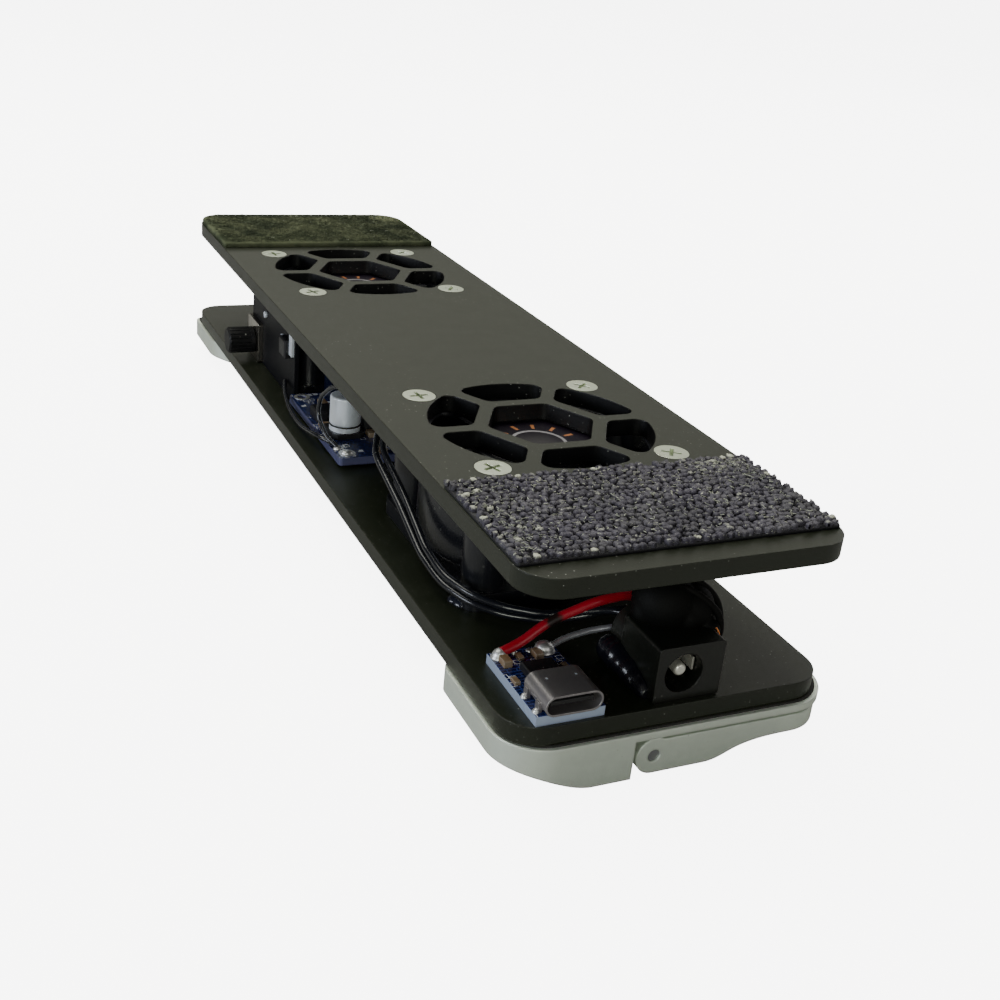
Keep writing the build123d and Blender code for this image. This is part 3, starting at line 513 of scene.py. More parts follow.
@dataclass(frozen=True)
class LabelFinish(Finish):
    """The printed disc on a fan hub: a dark ground with a plain ring and even ticks round it.

    Attributes:
        centre: The hub's centre in X and Y, in metres.
        ring_radius: Middle of the printed ring, in metres.
        tick_radius: Middle of the circle of ticks, in metres.
        ticks: How many ticks stand round the ring.
    """

    centre: tuple[float, float] = (0.0, 0.0)
    ring_radius: float = 4.6 * MM
    tick_radius: float = 6.6 * MM
    ticks: int = 12

    def pattern(self, g: Graph, colour: bpy.types.NodeSocket) -> bpy.types.NodeSocket:
        """Paint the ring and the ticks.

        Args:
            g: The material's graph.
            colour: The ground colour.

        Returns:
            The printed colour.
        """
        ring_half_width, tick_half_length, tick_share = 0.3 * MM, 0.9 * MM, 0.09
        parts = g.node("ShaderNodeSeparateXYZ")
        g.join(g.node("ShaderNodeTexCoord").outputs["Object"], parts.inputs[0])
        x = g.math("SUBTRACT", parts.outputs[0], self.centre[0])
        y = g.math("SUBTRACT", parts.outputs[1], self.centre[1])
        radius = g.math("SQRT", g.math("ADD", g.math("MULTIPLY", x, x), g.math("MULTIPLY", y, y)))
        from_ring = g.math("ABSOLUTE", g.math("SUBTRACT", radius, self.ring_radius))
        ring = g.math("LESS_THAN", from_ring, ring_half_width)
        from_ticks = g.math("ABSOLUTE", g.math("SUBTRACT", radius, self.tick_radius))
        zone = g.math("LESS_THAN", from_ticks, tick_half_length)
        turns = g.math("MULTIPLY", g.math("ARCTAN2", y, x), self.ticks / math.tau)
        phase = g.math("ABSOLUTE", g.math("SUBTRACT", g.math("FRACT", turns), 0.5))
        tick = g.math("MULTIPLY", zone, g.math("LESS_THAN", phase, tick_share))
        colour = g.mix(ring, colour, (0.3, 0.29, 0.31))
        return g.mix(tick, colour, (0.42, 0.17, 0.07))


@dataclass(frozen=True)
class BoardFinish(Finish):
    """A circuit board: solder mask with tracks under it, white print and pale cut edges.

    Attributes:
        top: Height of the board's upper face, in metres; not used.
        edge: Colour of the cut sides.
        print_amount: How much white print there is.
    """

    top: float = 0.0
    edge: Colour = (0.36, 0.43, 0.58)
    print_amount: float = 0.7

    def pattern(self, g: Graph, colour: bpy.types.NodeSocket) -> bpy.types.NodeSocket:
        """Add tracks, print and the pale sides.

        Args:
            g: The material's graph.
            colour: The mask's colour.

        Returns:
            The colour with tracks, print and sides.
        """
        at = g.node("ShaderNodeTexCoord").outputs["Object"]
        tracks = g.node("ShaderNodeTexBrick", offset=0.37, squash=1.6, squash_frequency=3)
        g.join(at, tracks.inputs["Vector"])
        tracks.inputs["Scale"].default_value = 330.0
        tracks.inputs["Mortar Size"].default_value = 0.035
        light = g.mix(0.5, colour, (0.07, 0.12, 0.45))
        colour = g.mix(g.math("MULTIPLY", tracks.outputs["Fac"], 0.7), colour, light)
        cells = g.node("ShaderNodeTexVoronoi", distance="CHEBYCHEV", feature="F1")
        g.join(at, cells.inputs["Vector"])
        cells.inputs["Scale"].default_value = 620.0
        ring = g.math("LESS_THAN", g.math("ABSOLUTE", g.math("SUBTRACT", cells.outputs["Distance"], 0.3)), 0.035)
        pick = g.node("ShaderNodeSeparateColor")
        g.join(cells.outputs["Color"], pick.inputs[0])
        marks = g.math("MULTIPLY", ring, g.math("GREATER_THAN", pick.outputs[1], 1.0 - 0.55 * self.print_amount))
        colour = g.mix(marks, colour, (0.8, 0.82, 0.88))
        facing = g.node("ShaderNodeSeparateXYZ")
        g.join(g.node("ShaderNodeNewGeometry").outputs["Normal"], facing.inputs[0])
        side = g.math("LESS_THAN", g.math("ABSOLUTE", facing.outputs[2]), 0.5)
        return g.mix(side, colour, self.edge)


@dataclass(frozen=True)
class ScorchedFinish(Finish):
    """Wire insulation with one dark scorched spot.

    Attributes:
        spot: Where the scorch is, in metres.
        reach: How far it spreads, in metres.
    """

    spot: Point = (0.0, 0.0, 0.0)
    reach: float = 0.0017

    def pattern(self, g: Graph, colour: bpy.types.NodeSocket) -> bpy.types.NodeSocket:
        """Darken round the scorched spot.

        Args:
            g: The material's graph.
            colour: The insulation's colour.

        Returns:
            The darkened colour.
        """
        at = g.node("ShaderNodeTexCoord").outputs["Object"]
        away = g.node("ShaderNodeVectorMath", operation="DISTANCE")
        g.join(at, away.inputs[0])
        away.inputs[1].default_value = self.spot
        ragged = g.math("ADD", away.outputs["Value"], g.math("MULTIPLY", g.noise(at, 1600.0, 3.0), 0.0011))
        mask = g.math("SUBTRACT", 1.0, g.between(ragged, self.reach, self.reach * 1.5))
        return g.mix(mask, colour, (0.012, 0.006, 0.005))


@dataclass(frozen=True)
class PileFinish(Finish):
    """Grip pile with pale dust in it. The mesh's own attribute says how much, below zero for the backing, which gets
    painted shade.

    Attributes:
        tip: Colour of the dust.
        fleck: Size of the flecks, as noise cells per metre.
        patches: How much the slow pale patches show.
        backing: Dark colour painted on the backing between the pile as shade.
    """

    tip: Colour = (0.6, 0.62, 0.5)
    fleck: float = 1500.0
    patches: float = 0.3
    backing: Colour = (0.008, 0.008, 0.011)

    def pattern(self, g: Graph, colour: bpy.types.NodeSocket) -> bpy.types.NodeSocket:
        """Mix in the flecks and paint shade on the backing.

        Args:
            g: The material's graph.
            colour: The pile's colour.

        Returns:
            The colour with its flecks.
        """
        tone = g.node("ShaderNodeAttribute", attribute_name="tone").outputs["Fac"]
        at = g.node("ShaderNodeTexCoord").outputs["Object"]
        patchy = g.between(g.noise(at, 150.0, 3.0), 0.38, 0.68)
        colour = g.mix(g.math("MULTIPLY", patchy, self.patches), colour, self.tip)
        spots = g.between(g.noise(at, self.fleck, 4.0, 0.6), 0.6, 0.7)
        reach = g.between(g.math("ADD", tone, g.math("MULTIPLY", g.noise(at, 2600.0, 2.0), 0.5)), 0.85, 1.2)
        flecks = g.math("MAXIMUM", g.math("MULTIPLY", spots, g.math("MULTIPLY", tone, 2.2, clamp=True)), reach)
        colour = g.mix(flecks, colour, self.tip)
        # Painted shade: the backing between the knobs goes dark.
        return g.mix(g.math("LESS_THAN", tone, -0.001), colour, self.backing)


class Finishes:
    """The stand's finishes, by use."""

    # Each edge colour below is a painted edge highlight.
    PLATE = PlateFinish(
        "plate sheet", "plate", (0.008, 0.0105, 0.0038), (0.0095, 0.0122, 0.0048), rough=0.38, rough_drift=0.03,
        grain_scale=4200.0, grain_depth=0.00003, specular=0.5, edge_highlight_colour=(0.045, 0.055, 0.034),
        edge_highlight_strength=1.0, edge_radius=0.0003, dust_amount=0.7, dust_scale=1300.0,
    )
    FAN = Finish(
        "moulded black", "fan_plastic", (0.0055, 0.006, 0.0085), (0.008, 0.0085, 0.012), rough=0.3,
        grain_scale=1800.0, grain_depth=0.00001, edge_highlight_strength=0.6, edge_highlight_colour=(0.03, 0.032, 0.04),
        dust_amount=0.5, dust_scale=520.0, coat=0.25,
    )
    LAMINATIONS = Finish(
        "laminations", "laminations", (0.3, 0.3, 0.31), (0.2, 0.2, 0.21), rough=0.42, metal=1.0, grain_scale=3000.0,
    )
    WINDING = Finish(
        "enamelled winding", "winding", (0.45, 0.14, 0.04), (0.3, 0.08, 0.03), rough=0.3, metal=0.9,
        grain_scale=2500.0, grain_depth=0.00006,
    )
    STEEL = Finish("ground steel", "steel", (0.5, 0.5, 0.51), (0.4, 0.4, 0.42), rough=0.3, metal=1.0)
    MAGNET = Finish("ferrite magnet", "magnet", (0.02, 0.02, 0.022), (0.03, 0.03, 0.03), rough=0.6)
    ZINC = Finish(
        "bright zinc", "zinc", (0.88, 0.94, 0.78), (0.7, 0.75, 0.63), rough=0.34, rough_drift=0.14, metal=1.0,
        grain_scale=3500.0, grain_depth=0.00002, edge_highlight_strength=1.2, edge_highlight_colour=(0.85, 0.87, 0.85),
        edge_radius=0.00015, dust_amount=0.25, dust_colour=(0.03, 0.03, 0.025), dust_scale=1100.0,
    )
    BRONZE = Finish("sintered bronze", "bronze", (0.42, 0.24, 0.1), (0.3, 0.18, 0.08), rough=0.45, metal=1.0)
    GREEN_BOARD = Finish("green mask", "green_board", (0.01, 0.08, 0.03), (0.01, 0.06, 0.02), rough=0.35)
    ALUMINIUM = Finish(
        "blasted aluminium", "foot_aluminium", (0.88, 0.95, 0.84), (0.78, 0.84, 0.75), rough=0.46, rough_drift=0.12,
        metal=0.75, grain_scale=5200.0, grain_depth=0.00006, edge_highlight_strength=2.2, edge_highlight_colour=(0.9, 0.92, 0.88),
        edge_radius=0.0004, dust_amount=0.5, dust_colour=(0.2, 0.19, 0.17), dust_scale=900.0,
    )
    SOLE = Finish(
        "sole rubber", "sole_rubber", (0.012, 0.012, 0.012), (0.02, 0.02, 0.019), rough=0.8,
        grain_scale=2200.0, grain_depth=0.00004, dust_amount=0.7,
    )
    TAPE = Finish(
        "foam tape", "foam_tape", (0.012, 0.012, 0.011), (0.02, 0.018, 0.016), rough=0.85,
        grain_scale=2600.0, grain_depth=0.00006,
    )
    NICKEL = Finish(
        "satin nickel", "nickel", (0.5, 0.47, 0.42), (0.4, 0.38, 0.35), rough=0.24, rough_drift=0.14, metal=1.0,
        grain_scale=2400.0, grain_depth=0.00001, edge_highlight_strength=1.2, edge_highlight_colour=(0.8, 0.79, 0.76),
        edge_radius=0.00012, dust_amount=0.4, dust_colour=(0.12, 0.11, 0.1), dust_scale=1300.0,
    )
    SHELL = Finish(
        "socket shell", "nickel", (0.42, 0.39, 0.38), (0.3, 0.28, 0.29), rough=0.28, rough_drift=0.16, metal=0.7,
        grain_scale=2400.0, grain_depth=0.00002, specular=0.8, edge_highlight_strength=2.0, edge_highlight_colour=(0.85, 0.84, 0.82),
        edge_radius=0.00014, dust_amount=0.5, dust_colour=(0.3, 0.29, 0.28), dust_scale=1300.0,
    )
    INSULATOR = Finish("black insulator", "black_insulator", (0.009, 0.009, 0.01), (0.014, 0.014, 0.015), rough=0.5)
    EPOXY = Finish(
        "chip epoxy", "chip_epoxy", (0.008, 0.008, 0.01), (0.013, 0.013, 0.015), rough=0.42,
        grain_scale=4200.0, grain_depth=0.00002, edge_highlight_strength=0.6, edge_highlight_colour=(0.05, 0.05, 0.055),
        edge_radius=0.0001, dust_amount=0.6, dust_scale=1500.0,
    )
    CERAMIC = Finish(
        "ceramic chips", "ceramic", (0.2, 0.12, 0.06), (0.3, 0.24, 0.17), rough=0.4, grain_scale=9000.0,
        edge_highlight_strength=1.5, edge_highlight_colour=(0.75, 0.75, 0.74), edge_radius=0.0002,
    )
    JACK = Finish(
        "jack shell", "jack_plastic", (0.0055, 0.006, 0.0042), (0.009, 0.0098, 0.007), rough=0.33,
        grain_scale=1600.0, grain_depth=0.00002, edge_highlight_strength=1.2, edge_highlight_colour=(0.05, 0.055, 0.045),
        dust_amount=0.7, dust_scale=800.0,
    )
    # Painted shade: a darker, duller copy of the glue for the mass under the top plate and the stubs in it.
    GLUE = Finish(
        "glue shaded copy", "glue", (0.0016, 0.0016, 0.0014), (0.0024, 0.0024, 0.002), rough=0.6, rough_drift=0.1,
        grain_scale=900.0, grain_depth=0.0001, specular=0.12, dust_amount=0.15,
    )
    # Painted highlight: a lighter, bluish, glossier copy of the same glue for the bead on the jack's left side.
    LIT_GLUE_BEAD = Finish(
        "glue bead lit copy", "glue", (0.003, 0.003, 0.006), (0.005, 0.005, 0.009), rough=0.24, rough_drift=0.14,
        grain_scale=700.0, grain_depth=0.00016, specular=0.7, dust_amount=0.5, coat=0.2,
    )
    CLEAR_GLUE = Finish(
        "clear glue", "glue", (0.016, 0.018, 0.03), (0.024, 0.026, 0.04), rough=0.22, rough_drift=0.1,
        grain_scale=700.0, grain_depth=0.0001, specular=0.6, coat=0.4,
    )
    CONTACT = Finish(
        "sprung contact", "nickel", (0.9, 0.88, 0.8), (0.7, 0.68, 0.62), rough=0.3, rough_drift=0.1, metal=0.6,
        grain_scale=2400.0,
    )
    SOLDER = Finish(
        "solder", "solder", (0.8, 0.81, 0.85), (0.6, 0.61, 0.66), rough=0.2, rough_drift=0.14, metal=1.0,
        grain_scale=1800.0, grain_depth=0.00004,
    )
    CAN = Finish(
        "drawn can", "can", (0.88, 0.93, 1.0), (0.8, 0.86, 0.95), rough=0.36, metal=0.3, grain_scale=900.0,
        edge_highlight_strength=0.8, edge_highlight_colour=(0.95, 0.96, 0.98), edge_radius=0.0002,
    )
    FERRITE = Finish(
        "moulded ferrite", "ferrite", (0.022, 0.023, 0.026), (0.034, 0.034, 0.037), rough=0.6,
        grain_scale=3000.0, grain_depth=0.00005, edge_highlight_strength=0.8, edge_highlight_colour=(0.09, 0.09, 0.095),
    )
    TRIMMER = Finish("trimmer case", "trimmer_blue", (0.002, 0.004, 0.018), (0.003, 0.006, 0.024), rough=0.3)
    BRASS = Finish("turned brass", "brass_screw", (0.6, 0.4, 0.13), (0.5, 0.32, 0.1), rough=0.28, metal=1.0)
    BLACK_BOARD = Finish(
        "black mask", "black_board", (0.0022, 0.0022, 0.004), (0.0035, 0.0035, 0.006), rough=0.5, specular=0.2,
        edge_highlight_strength=0.8, edge_highlight_colour=(0.06, 0.06, 0.06), dust_amount=0.7,
    )
    KNOB = Finish(
        "knurled knob", "knob_plastic", (0.004, 0.004, 0.005), (0.007, 0.007, 0.008), rough=0.5, specular=0.25,
        grain_scale=2600.0, grain_depth=0.00003, edge_highlight_strength=1.2, edge_highlight_colour=(0.05, 0.05, 0.052),
        edge_radius=0.00012, dust_amount=0.8,
    )
    BLACK_WIRE = Finish(
        "black insulation", "wire_black", (0.007, 0.008, 0.012), (0.012, 0.013, 0.018), rough=0.22,
        grain_scale=900.0, grain_depth=0.00003, dust_amount=0.25, coat=0.35,
    )
    # Painted highlight: the black return wire gets a bright silvery metal colour in place of its highlight.
    PAINTED_HIGHLIGHT_WIRE = Finish(
        "black wire painted highlight", "wire_black", (0.85, 0.86, 0.92), (0.6, 0.61, 0.68), rough=0.3, rough_drift=0.14, metal=0.8,
        grain_scale=1600.0, grain_depth=0.00003,
    )
    COPPER = Finish(
        "copper strand", "winding", (0.62, 0.24, 0.09), (0.5, 0.17, 0.06), rough=0.3, metal=1.0,
        grain_scale=4000.0, grain_depth=0.00003,
    )
    LINT = Finish("lint", "grip", (0.55, 0.56, 0.46), (0.4, 0.42, 0.36), rough=0.9)


# ---------------------------------------------------------------------------------------------
# Mesh building
# ---------------------------------------------------------------------------------------------
class MeshKit:
    """Mesh and curve makers that the sub-assemblies share."""

    @staticmethod
    def commit(name: str, bm: bmesh.types.BMesh, finish: Finish, body: str, smooth: bool = True) -> bpy.types.Object:
        """Turn a bmesh into a dressed piece that rides on a body.

        Args:
            name: The piece's name.
            bm: The mesh so far. It is freed.
            finish: Its finish.
            body: The CAD body it rides on.
            smooth: Whether faces are shaded smooth.

        Returns:
            The piece.
        """
        mesh = bpy.data.meshes.new(name)
        bm.to_mesh(mesh)
        bm.free()
        if smooth:
            mesh.polygons.foreach_set("use_smooth", [True] * len(mesh.polygons))
        made = bpy.data.objects.new(name, mesh)
        bpy.context.scene.collection.objects.link(made)
        made.data.materials.append(finish.material())
        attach(made, body)
        return made

    @staticmethod
    def lathe(bm: bmesh.types.BMesh, profile: Sequence[tuple[float, float]], at: Point, segments: int = 24,
              squash: float = 1.0, lean: float = 0.0, turn: float = 0.0) -> None:
        """Turn a profile about an upright axis.

        Args:
            bm: The mesh to add to.
            profile: Radius and height pairs from the bottom up.
            at: Foot of the axis.
            segments: Facets round.
            squash: Scale across the axis in Y, for slightly oval drops.
            lean: Sideways lean per unit of height.
            turn: Direction of the lean, in radians.
        """
        rings = []
        for radius, height in profile:
            dx = lean * height * math.cos(turn)
            dy = lean * height * math.sin(turn)
            if radius <= 1e-7:
                rings.append([bm.verts.new((at[0] + dx, at[1] + dy, at[2] + height))])
                continue
            ring = []
            for i in range(segments):
                a = 2 * math.pi * i / segments
                x = at[0] + dx + radius * math.cos(a)
                y = at[1] + dy + radius * squash * math.sin(a)
                ring.append(bm.verts.new((x, y, at[2] + height)))
            rings.append(ring)
        for low, high in zip(rings, rings[1:]):
            for i in range(segments):
                j = (i + 1) % segments
                corners = [low[i % len(low)], low[j % len(low)], high[j % len(high)], high[i % len(high)]]
                unique = list(dict.fromkeys(corners))
                if len(unique) >= 3:
                    bm.faces.new(unique)

    @staticmethod
    def drop(bm: bmesh.types.BMesh, at: Point, radius: float, height: float, rng: random.Random) -> None:
        """A solder joint: a wetted skirt that sweeps up to a rounded, slightly leaning top.

        Args:
            bm: The mesh to add to.
            at: Centre of its foot.
            radius: Radius of the foot.
            height: Height of the joint.
            rng: Source of the small differences.
        """
        shape = [(1.06, 0.0), (0.98, 0.08), (0.95, 0.26), (0.88, 0.48), (0.75, 0.68), (0.55, 0.85), (0.28, 0.97), (0.0, 1.0)]
        profile = [(radius * r, height * h) for r, h in shape]
        MeshKit.lathe(bm, profile, at, 20, rng.uniform(0.85, 1.1), rng.uniform(0.0, 0.25), rng.uniform(0, 6.28))

    @staticmethod
    def tube(bm: bmesh.types.BMesh, points: Sequence[Vector], radius: float, sides: int = 12, taper: float = 1.0) -> None:
        """Sweep a round section along points.

        Args:
            bm: The mesh to add to.
            points: The line it follows.
            radius: Radius at the start.
            sides: Facets round.
            taper: Radius at the end as a share of the start's.
        """
        rings = []
        side = None
        count = len(points)
        for i, point in enumerate(points):
            ahead = points[min(i + 1, count - 1)] - points[max(i - 1, 0)]
            along = ahead.normalized()
            if side is None:
                side = along.orthogonal().normalized()
            side = (side - along * side.dot(along)).normalized()
            other = along.cross(side)
            r = radius * (1 + (taper - 1) * i / max(count - 1, 1))
            ring = []
            for k in range(sides):
                a = 2 * math.pi * k / sides
                ring.append(bm.verts.new(point + side * (r * math.cos(a)) + other * (r * math.sin(a))))
            rings.append(ring)
        for low, high in zip(rings, rings[1:]):
            for k in range(sides):
                j = (k + 1) % sides
                bm.faces.new((low[k], low[j], high[j], high[k]))
        bm.faces.new(list(reversed(rings[0])))
        bm.faces.new(rings[-1])

    @staticmethod
    def spline(name: str, points: Iterable[Point], resolution: int = 10) -> bpy.types.Object:
        """A smooth open line through space with these control points.

        Args:
            name: The curve's name.
            points: Control points in metres.
            resolution: Steps per span.

        Returns:
            The curve object, with no thickness.
        """
        data = bpy.data.curves.new(name, "CURVE")
        data.dimensions = "3D"
        data.resolution_u = resolution
        line = data.splines.new("NURBS")
        places = list(points)
        line.points.add(len(places) - 1)
        for spot, place in zip(line.points, places):
            spot.co = (*place, 1.0)
        line.order_u = 3
        line.use_endpoint_u = True
        made = bpy.data.objects.new(name, data)
        bpy.context.scene.collection.objects.link(made)
        return made

    @staticmethod
    def read_line(curve: bpy.types.Object) -> list[Vector]:
        """Read the points of a curve's own line, then remove the curve.

        Args:
            curve: A curve with no bevel.

        Returns:
            Its points in order.
        """
        bpy.context.view_layer.update()
        mesh = bpy.data.meshes.new_from_object(curve)
        points = [v.co.copy() for v in mesh.vertices]
        bpy.data.meshes.remove(mesh)
        bpy.data.objects.remove(curve)
        return points


class Dresser:
    """Gives CAD nodes their finishes."""

    def __init__(self, nodes: dict[str, bpy.types.Object]) -> None:
        """Keep the nodes.

        Args:
            nodes: CAD nodes by name.
        """
        self.nodes = nodes

    def dress(self, finish: Finish, *names: str) -> None:
        """Put a finish on CAD nodes.

        Args:
            finish: The finish.
            *names: Node names.
        """
        for name in names:
            node = self.nodes[name]
            node.data.materials.clear()
            node.data.materials.append(finish.material())


# ---------------------------------------------------------------------------------------------
# Sub-assemblies
# ---------------------------------------------------------------------------------------------
@dataclass
class Plates:
    """The two long plates.

    Attributes:
        names: Their CAD nodes.
    """

    names: tuple[str, str] = ("top_plate", "lower_plate")

    def build(self, dresser: Dresser) -> None:
        """Dress both plates.

        Args:
            dresser: Dresses CAD nodes.
        """
        dresser.dress(Finishes.PLATE, *self.names)
        LOG.info("plates dressed: %s", ", ".join(self.names))


@dataclass
class GripPad:
    """A grip pad with its pile.

    Attributes:
        end: Which end it is at.
        pile: Knobs or fleece.
        pitch: Distance between knobs, in metres.
        backing: Thickness of the woven backing, in metres.
        seed: Seed for its irregularities.
        lint: Number of lint fibres.
        corner_radius: Rounding of its two outer corners, in metres.
    """

    end: End
    pile: Pile
    pitch: float = 1.26 * MM
    backing: float = 0.5 * MM
    seed: int = 3
    lint: int = 900
    corner_radius: float = 0.5 * MM

    def finish(self) -> PileFinish:
        """The pile's finish.

        Returns:
            Purple-grey for the knobs, green-grey for the fleece.
        """
        if self.pile is Pile.KNOBS:
            return PileFinish(
                "knob pile", "grip", (0.062, 0.055, 0.08), (0.04, 0.036, 0.052), rough=0.5, specular=0.4,
                grain_scale=3800.0, grain_depth=0.00016, tip=(0.55, 0.56, 0.45), fleck=1900.0, patches=0.04,
            )
        return PileFinish(
            "fleece pile", "grip", (0.05, 0.061, 0.033), (0.034, 0.043, 0.025), rough=0.9, specular=0.15,
            grain_scale=2600.0, grain_depth=0.0003, tip=(0.24, 0.26, 0.15), fleck=500.0,
        )

    def paleness(self, x: float, y: float, low: Vector, high: Vector, rng: random.Random) -> float:
        """How dusty the pile is at a place.

        Args:
            x: Place across the pad.
            y: Place along the pad.
            low: The pad's low corner.
            high: The pad's high corner.
            rng: Source of the differences.

        Returns:
            0 for clean, 1 for pale all over.
        """
        u = (x - low.x) / (high.x - low.x)
        v = (y - low.y) / (high.y - low.y)
        rim = max(0.0, 1 - min(u, 1 - u, v, 1 - v) / 0.05)
        if self.pile is Pile.KNOBS:
            corner = max(0.0, 1 - math.hypot(u - 1, v - 1) / 0.25)
            left = max(0.0, 1 - u / 0.16)
            back = max(0.0, 1 - (1 - v) / 0.1)
            base = 0.16 + 0.62 * rng.random() ** 5
            return min(1.0, base + 0.3 * rim + (0.6 * corner + 0.5 * left + 0.3 * back) * rng.random())
        patch = max(0.0, 1 - math.hypot((u - 0.94) * 1.3, (v - 0.84) * 1.1) / 0.2)
        return min(1.0, 0.2 * rng.random() + 0.2 * rim * rng.random() + 1.6 * patch)

    def backing_mesh(self, bm: bmesh.types.BMesh, low: Vector, high: Vector) -> None:
        """The pad's backing: a thin slab with rounded rear corners and a soft upper edge.

        Args:
            bm: The mesh to add to.
            low: The pad's low corner.
            high: The pad's high corner.
        """
        r = self.corner_radius
        outline = []
        corners = [
            (low.x, low.y, 0.5 * MM, 180), (high.x, low.y, 0.5 * MM, 270),
            (high.x, high.y, r, 0), (low.x, high.y, r, 90),
        ]
        for cx, cy, radius, start in corners:
            ox = radius if cx == low.x else -radius
            oy = radius if cy == low.y else -radius
            for i in range(9):
                a = math.radians(start + 90 * i / 8)
                outline.append((cx + ox + radius * math.cos(a), cy + oy + radius * math.sin(a)))
        levels = [(0.0, low.z), (0.0, low.z + self.backing * 0.7), (0.12 * MM, low.z + self.backing)]
        rings = []
        middle = Vector(((low.x + high.x) / 2, (low.y + high.y) / 2))
        for inset, z in levels:
            ring = []
            for x, y in outline:
                toward = (middle - Vector((x, y))).normalized() * inset
                ring.append(bm.verts.new((x + toward.x, y + toward.y, z)))
            rings.append(ring)
        n = len(outline)
        for a, b in zip(rings, rings[1:]):
            for i in range(n):
                bm.faces.new((a[i], a[(i + 1) % n], b[(i + 1) % n], b[i]))
        bm.faces.new(rings[-1])
        bm.faces.new(list(reversed(rings[0])))

    def inside(self, x: float, y: float, low: Vector, high: Vector, margin: float) -> bool:
        """Whether a place is on the pad, clear of its rounded corners.

        Args:
            x: Place across.
            y: Place along.
            low: The pad's low corner.
            high: The pad's high corner.
            margin: Distance to keep from the edge.

        Returns:
            True if the place is on the pad.
        """
        if not (low.x + margin <= x <= high.x - margin and low.y + margin <= y <= high.y - margin):
            return False
        r = self.corner_radius
        dx = max(low.x + r - x, x - (high.x - r), 0)
        dy = max(y - (high.y - r), 0)
        return math.hypot(dx, dy) <= r - margin or dx == 0 or dy == 0

    def knobs(self, bm: bmesh.types.BMesh, tones: list[float], low: Vector, high: Vector, rng: random.Random) -> None:
        """Rows of leaning, flattened knobs with split tips.

        Args:
            bm: The mesh to add to.
            tones: Grows by one tone per vertex.
            low: The pad's low corner.
            high: The pad's high corner.
            rng: Source of the irregularities.
        """
        height = high.z - low.z - self.backing
        inset = 0.55 * MM
        columns = round((high.x - low.x - 2 * inset) / self.pitch)
        rows = round((high.y - low.y - 2 * inset) / self.pitch)
        step_x = (high.x - low.x - 2 * inset) / columns
        step_y = (high.y - low.y - 2 * inset) / rows
        shape = [(0.95, 0.0), (1.0, 0.3), (0.96, 0.55), (0.8, 0.78), (0.45, 0.95), (0.0, 1.0)]
        floor = low.z + self.backing - 0.02 * MM
        for row in range(rows + 1):
            for column in range(columns + 1):
                x = low.x + inset + column * step_x + rng.gauss(0, 0.15 * MM) + (0.16 * MM if row % 2 else -0.16 * MM)
                y = low.y + inset + row * step_y + rng.gauss(0, 0.15 * MM)
                if not self.inside(x, y, low, high, 0.3 * MM):
                    continue
                pale = self.paleness(x, y, low, high, rng)
                wide = rng.uniform(0.56, 0.68) * MM
                tall = height * rng.uniform(0.66, 0.92)
                pieces = [(x, y, wide, tall)]
                for _ in range(2):
                    away = rng.uniform(0, 6.28)
                    dx = 0.42 * MM * math.cos(away)
                    dy = 0.42 * MM * math.sin(away)
                    pieces.append((x + dx, y + dy, wide * rng.uniform(0.4, 0.55), tall * rng.uniform(0.85, 1.08)))
                for px, py, radius, rise in pieces:
                    profile = [(radius * r, rise * h) for r, h in shape]
                    before = len(bm.verts)
                    turn = rng.uniform(0, 6.28)
                    MeshKit.lathe(bm, profile, (px, py, floor), 8, rng.uniform(0.75, 1.2), rng.uniform(0.0, 0.3), turn)
                    bm.verts.ensure_lookup_table()
                    for vert in bm.verts[before:]:
                        up = (vert.co.z - floor) / max(rise, 1e-9)
                        vert.co.x = min(max(vert.co.x + rng.gauss(0, 0.05 * MM), low.x), high.x)
                        vert.co.y = min(max(vert.co.y + rng.gauss(0, 0.05 * MM), low.y), high.y)
                        vert.co.z = min(vert.co.z + rng.gauss(0, 0.02 * MM), high.z)
                        tones.append(pale * (0.2 + 0.8 * min(max(up, 0.0), 1.0)))

    def fleece(self, bm: bmesh.types.BMesh, tones: list[float], low: Vector, high: Vector, rng: random.Random) -> None:
        """Short matted loops.

        Args:
            bm: The mesh to add to.
            tones: Grows by one tone per vertex.
            low: The pad's low corner.
            high: The pad's high corner.
            rng: Source of the irregularities.
        """
        room = high.z - low.z - self.backing
        for _ in range(5200):
            x = rng.uniform(low.x, high.x)
            y = rng.uniform(low.y, high.y)
            if not self.inside(x, y, low, high, 0.8 * MM):
                continue
            reach = rng.uniform(0.5, 1.2) * MM
            angle = rng.uniform(0, 6.28)
            tall = room * rng.uniform(0.3, 0.8)
            points = []
            for i in range(5):
                t = i / 4
                rise = math.sin(math.pi * min(t * 1.15, 1.0)) * tall
                wander = rng.gauss(0, 0.06 * MM)
                px = x + reach * (t - 0.5) * math.cos(angle) + wander
                py = y + reach * (t - 0.5) * math.sin(angle) - wander
                points.append(Vector((px, py, low.z + self.backing - 0.05 * MM + max(rise, 0.0))))
            before = len(bm.verts)
            MeshKit.tube(bm, points, rng.uniform(0.07, 0.12) * MM, 4, 0.6)
            pale = self.paleness(x, y, low, high, rng)
            tones.extend([min(1.0, pale + 0.15 * rng.random())] * (len(bm.verts) - before))

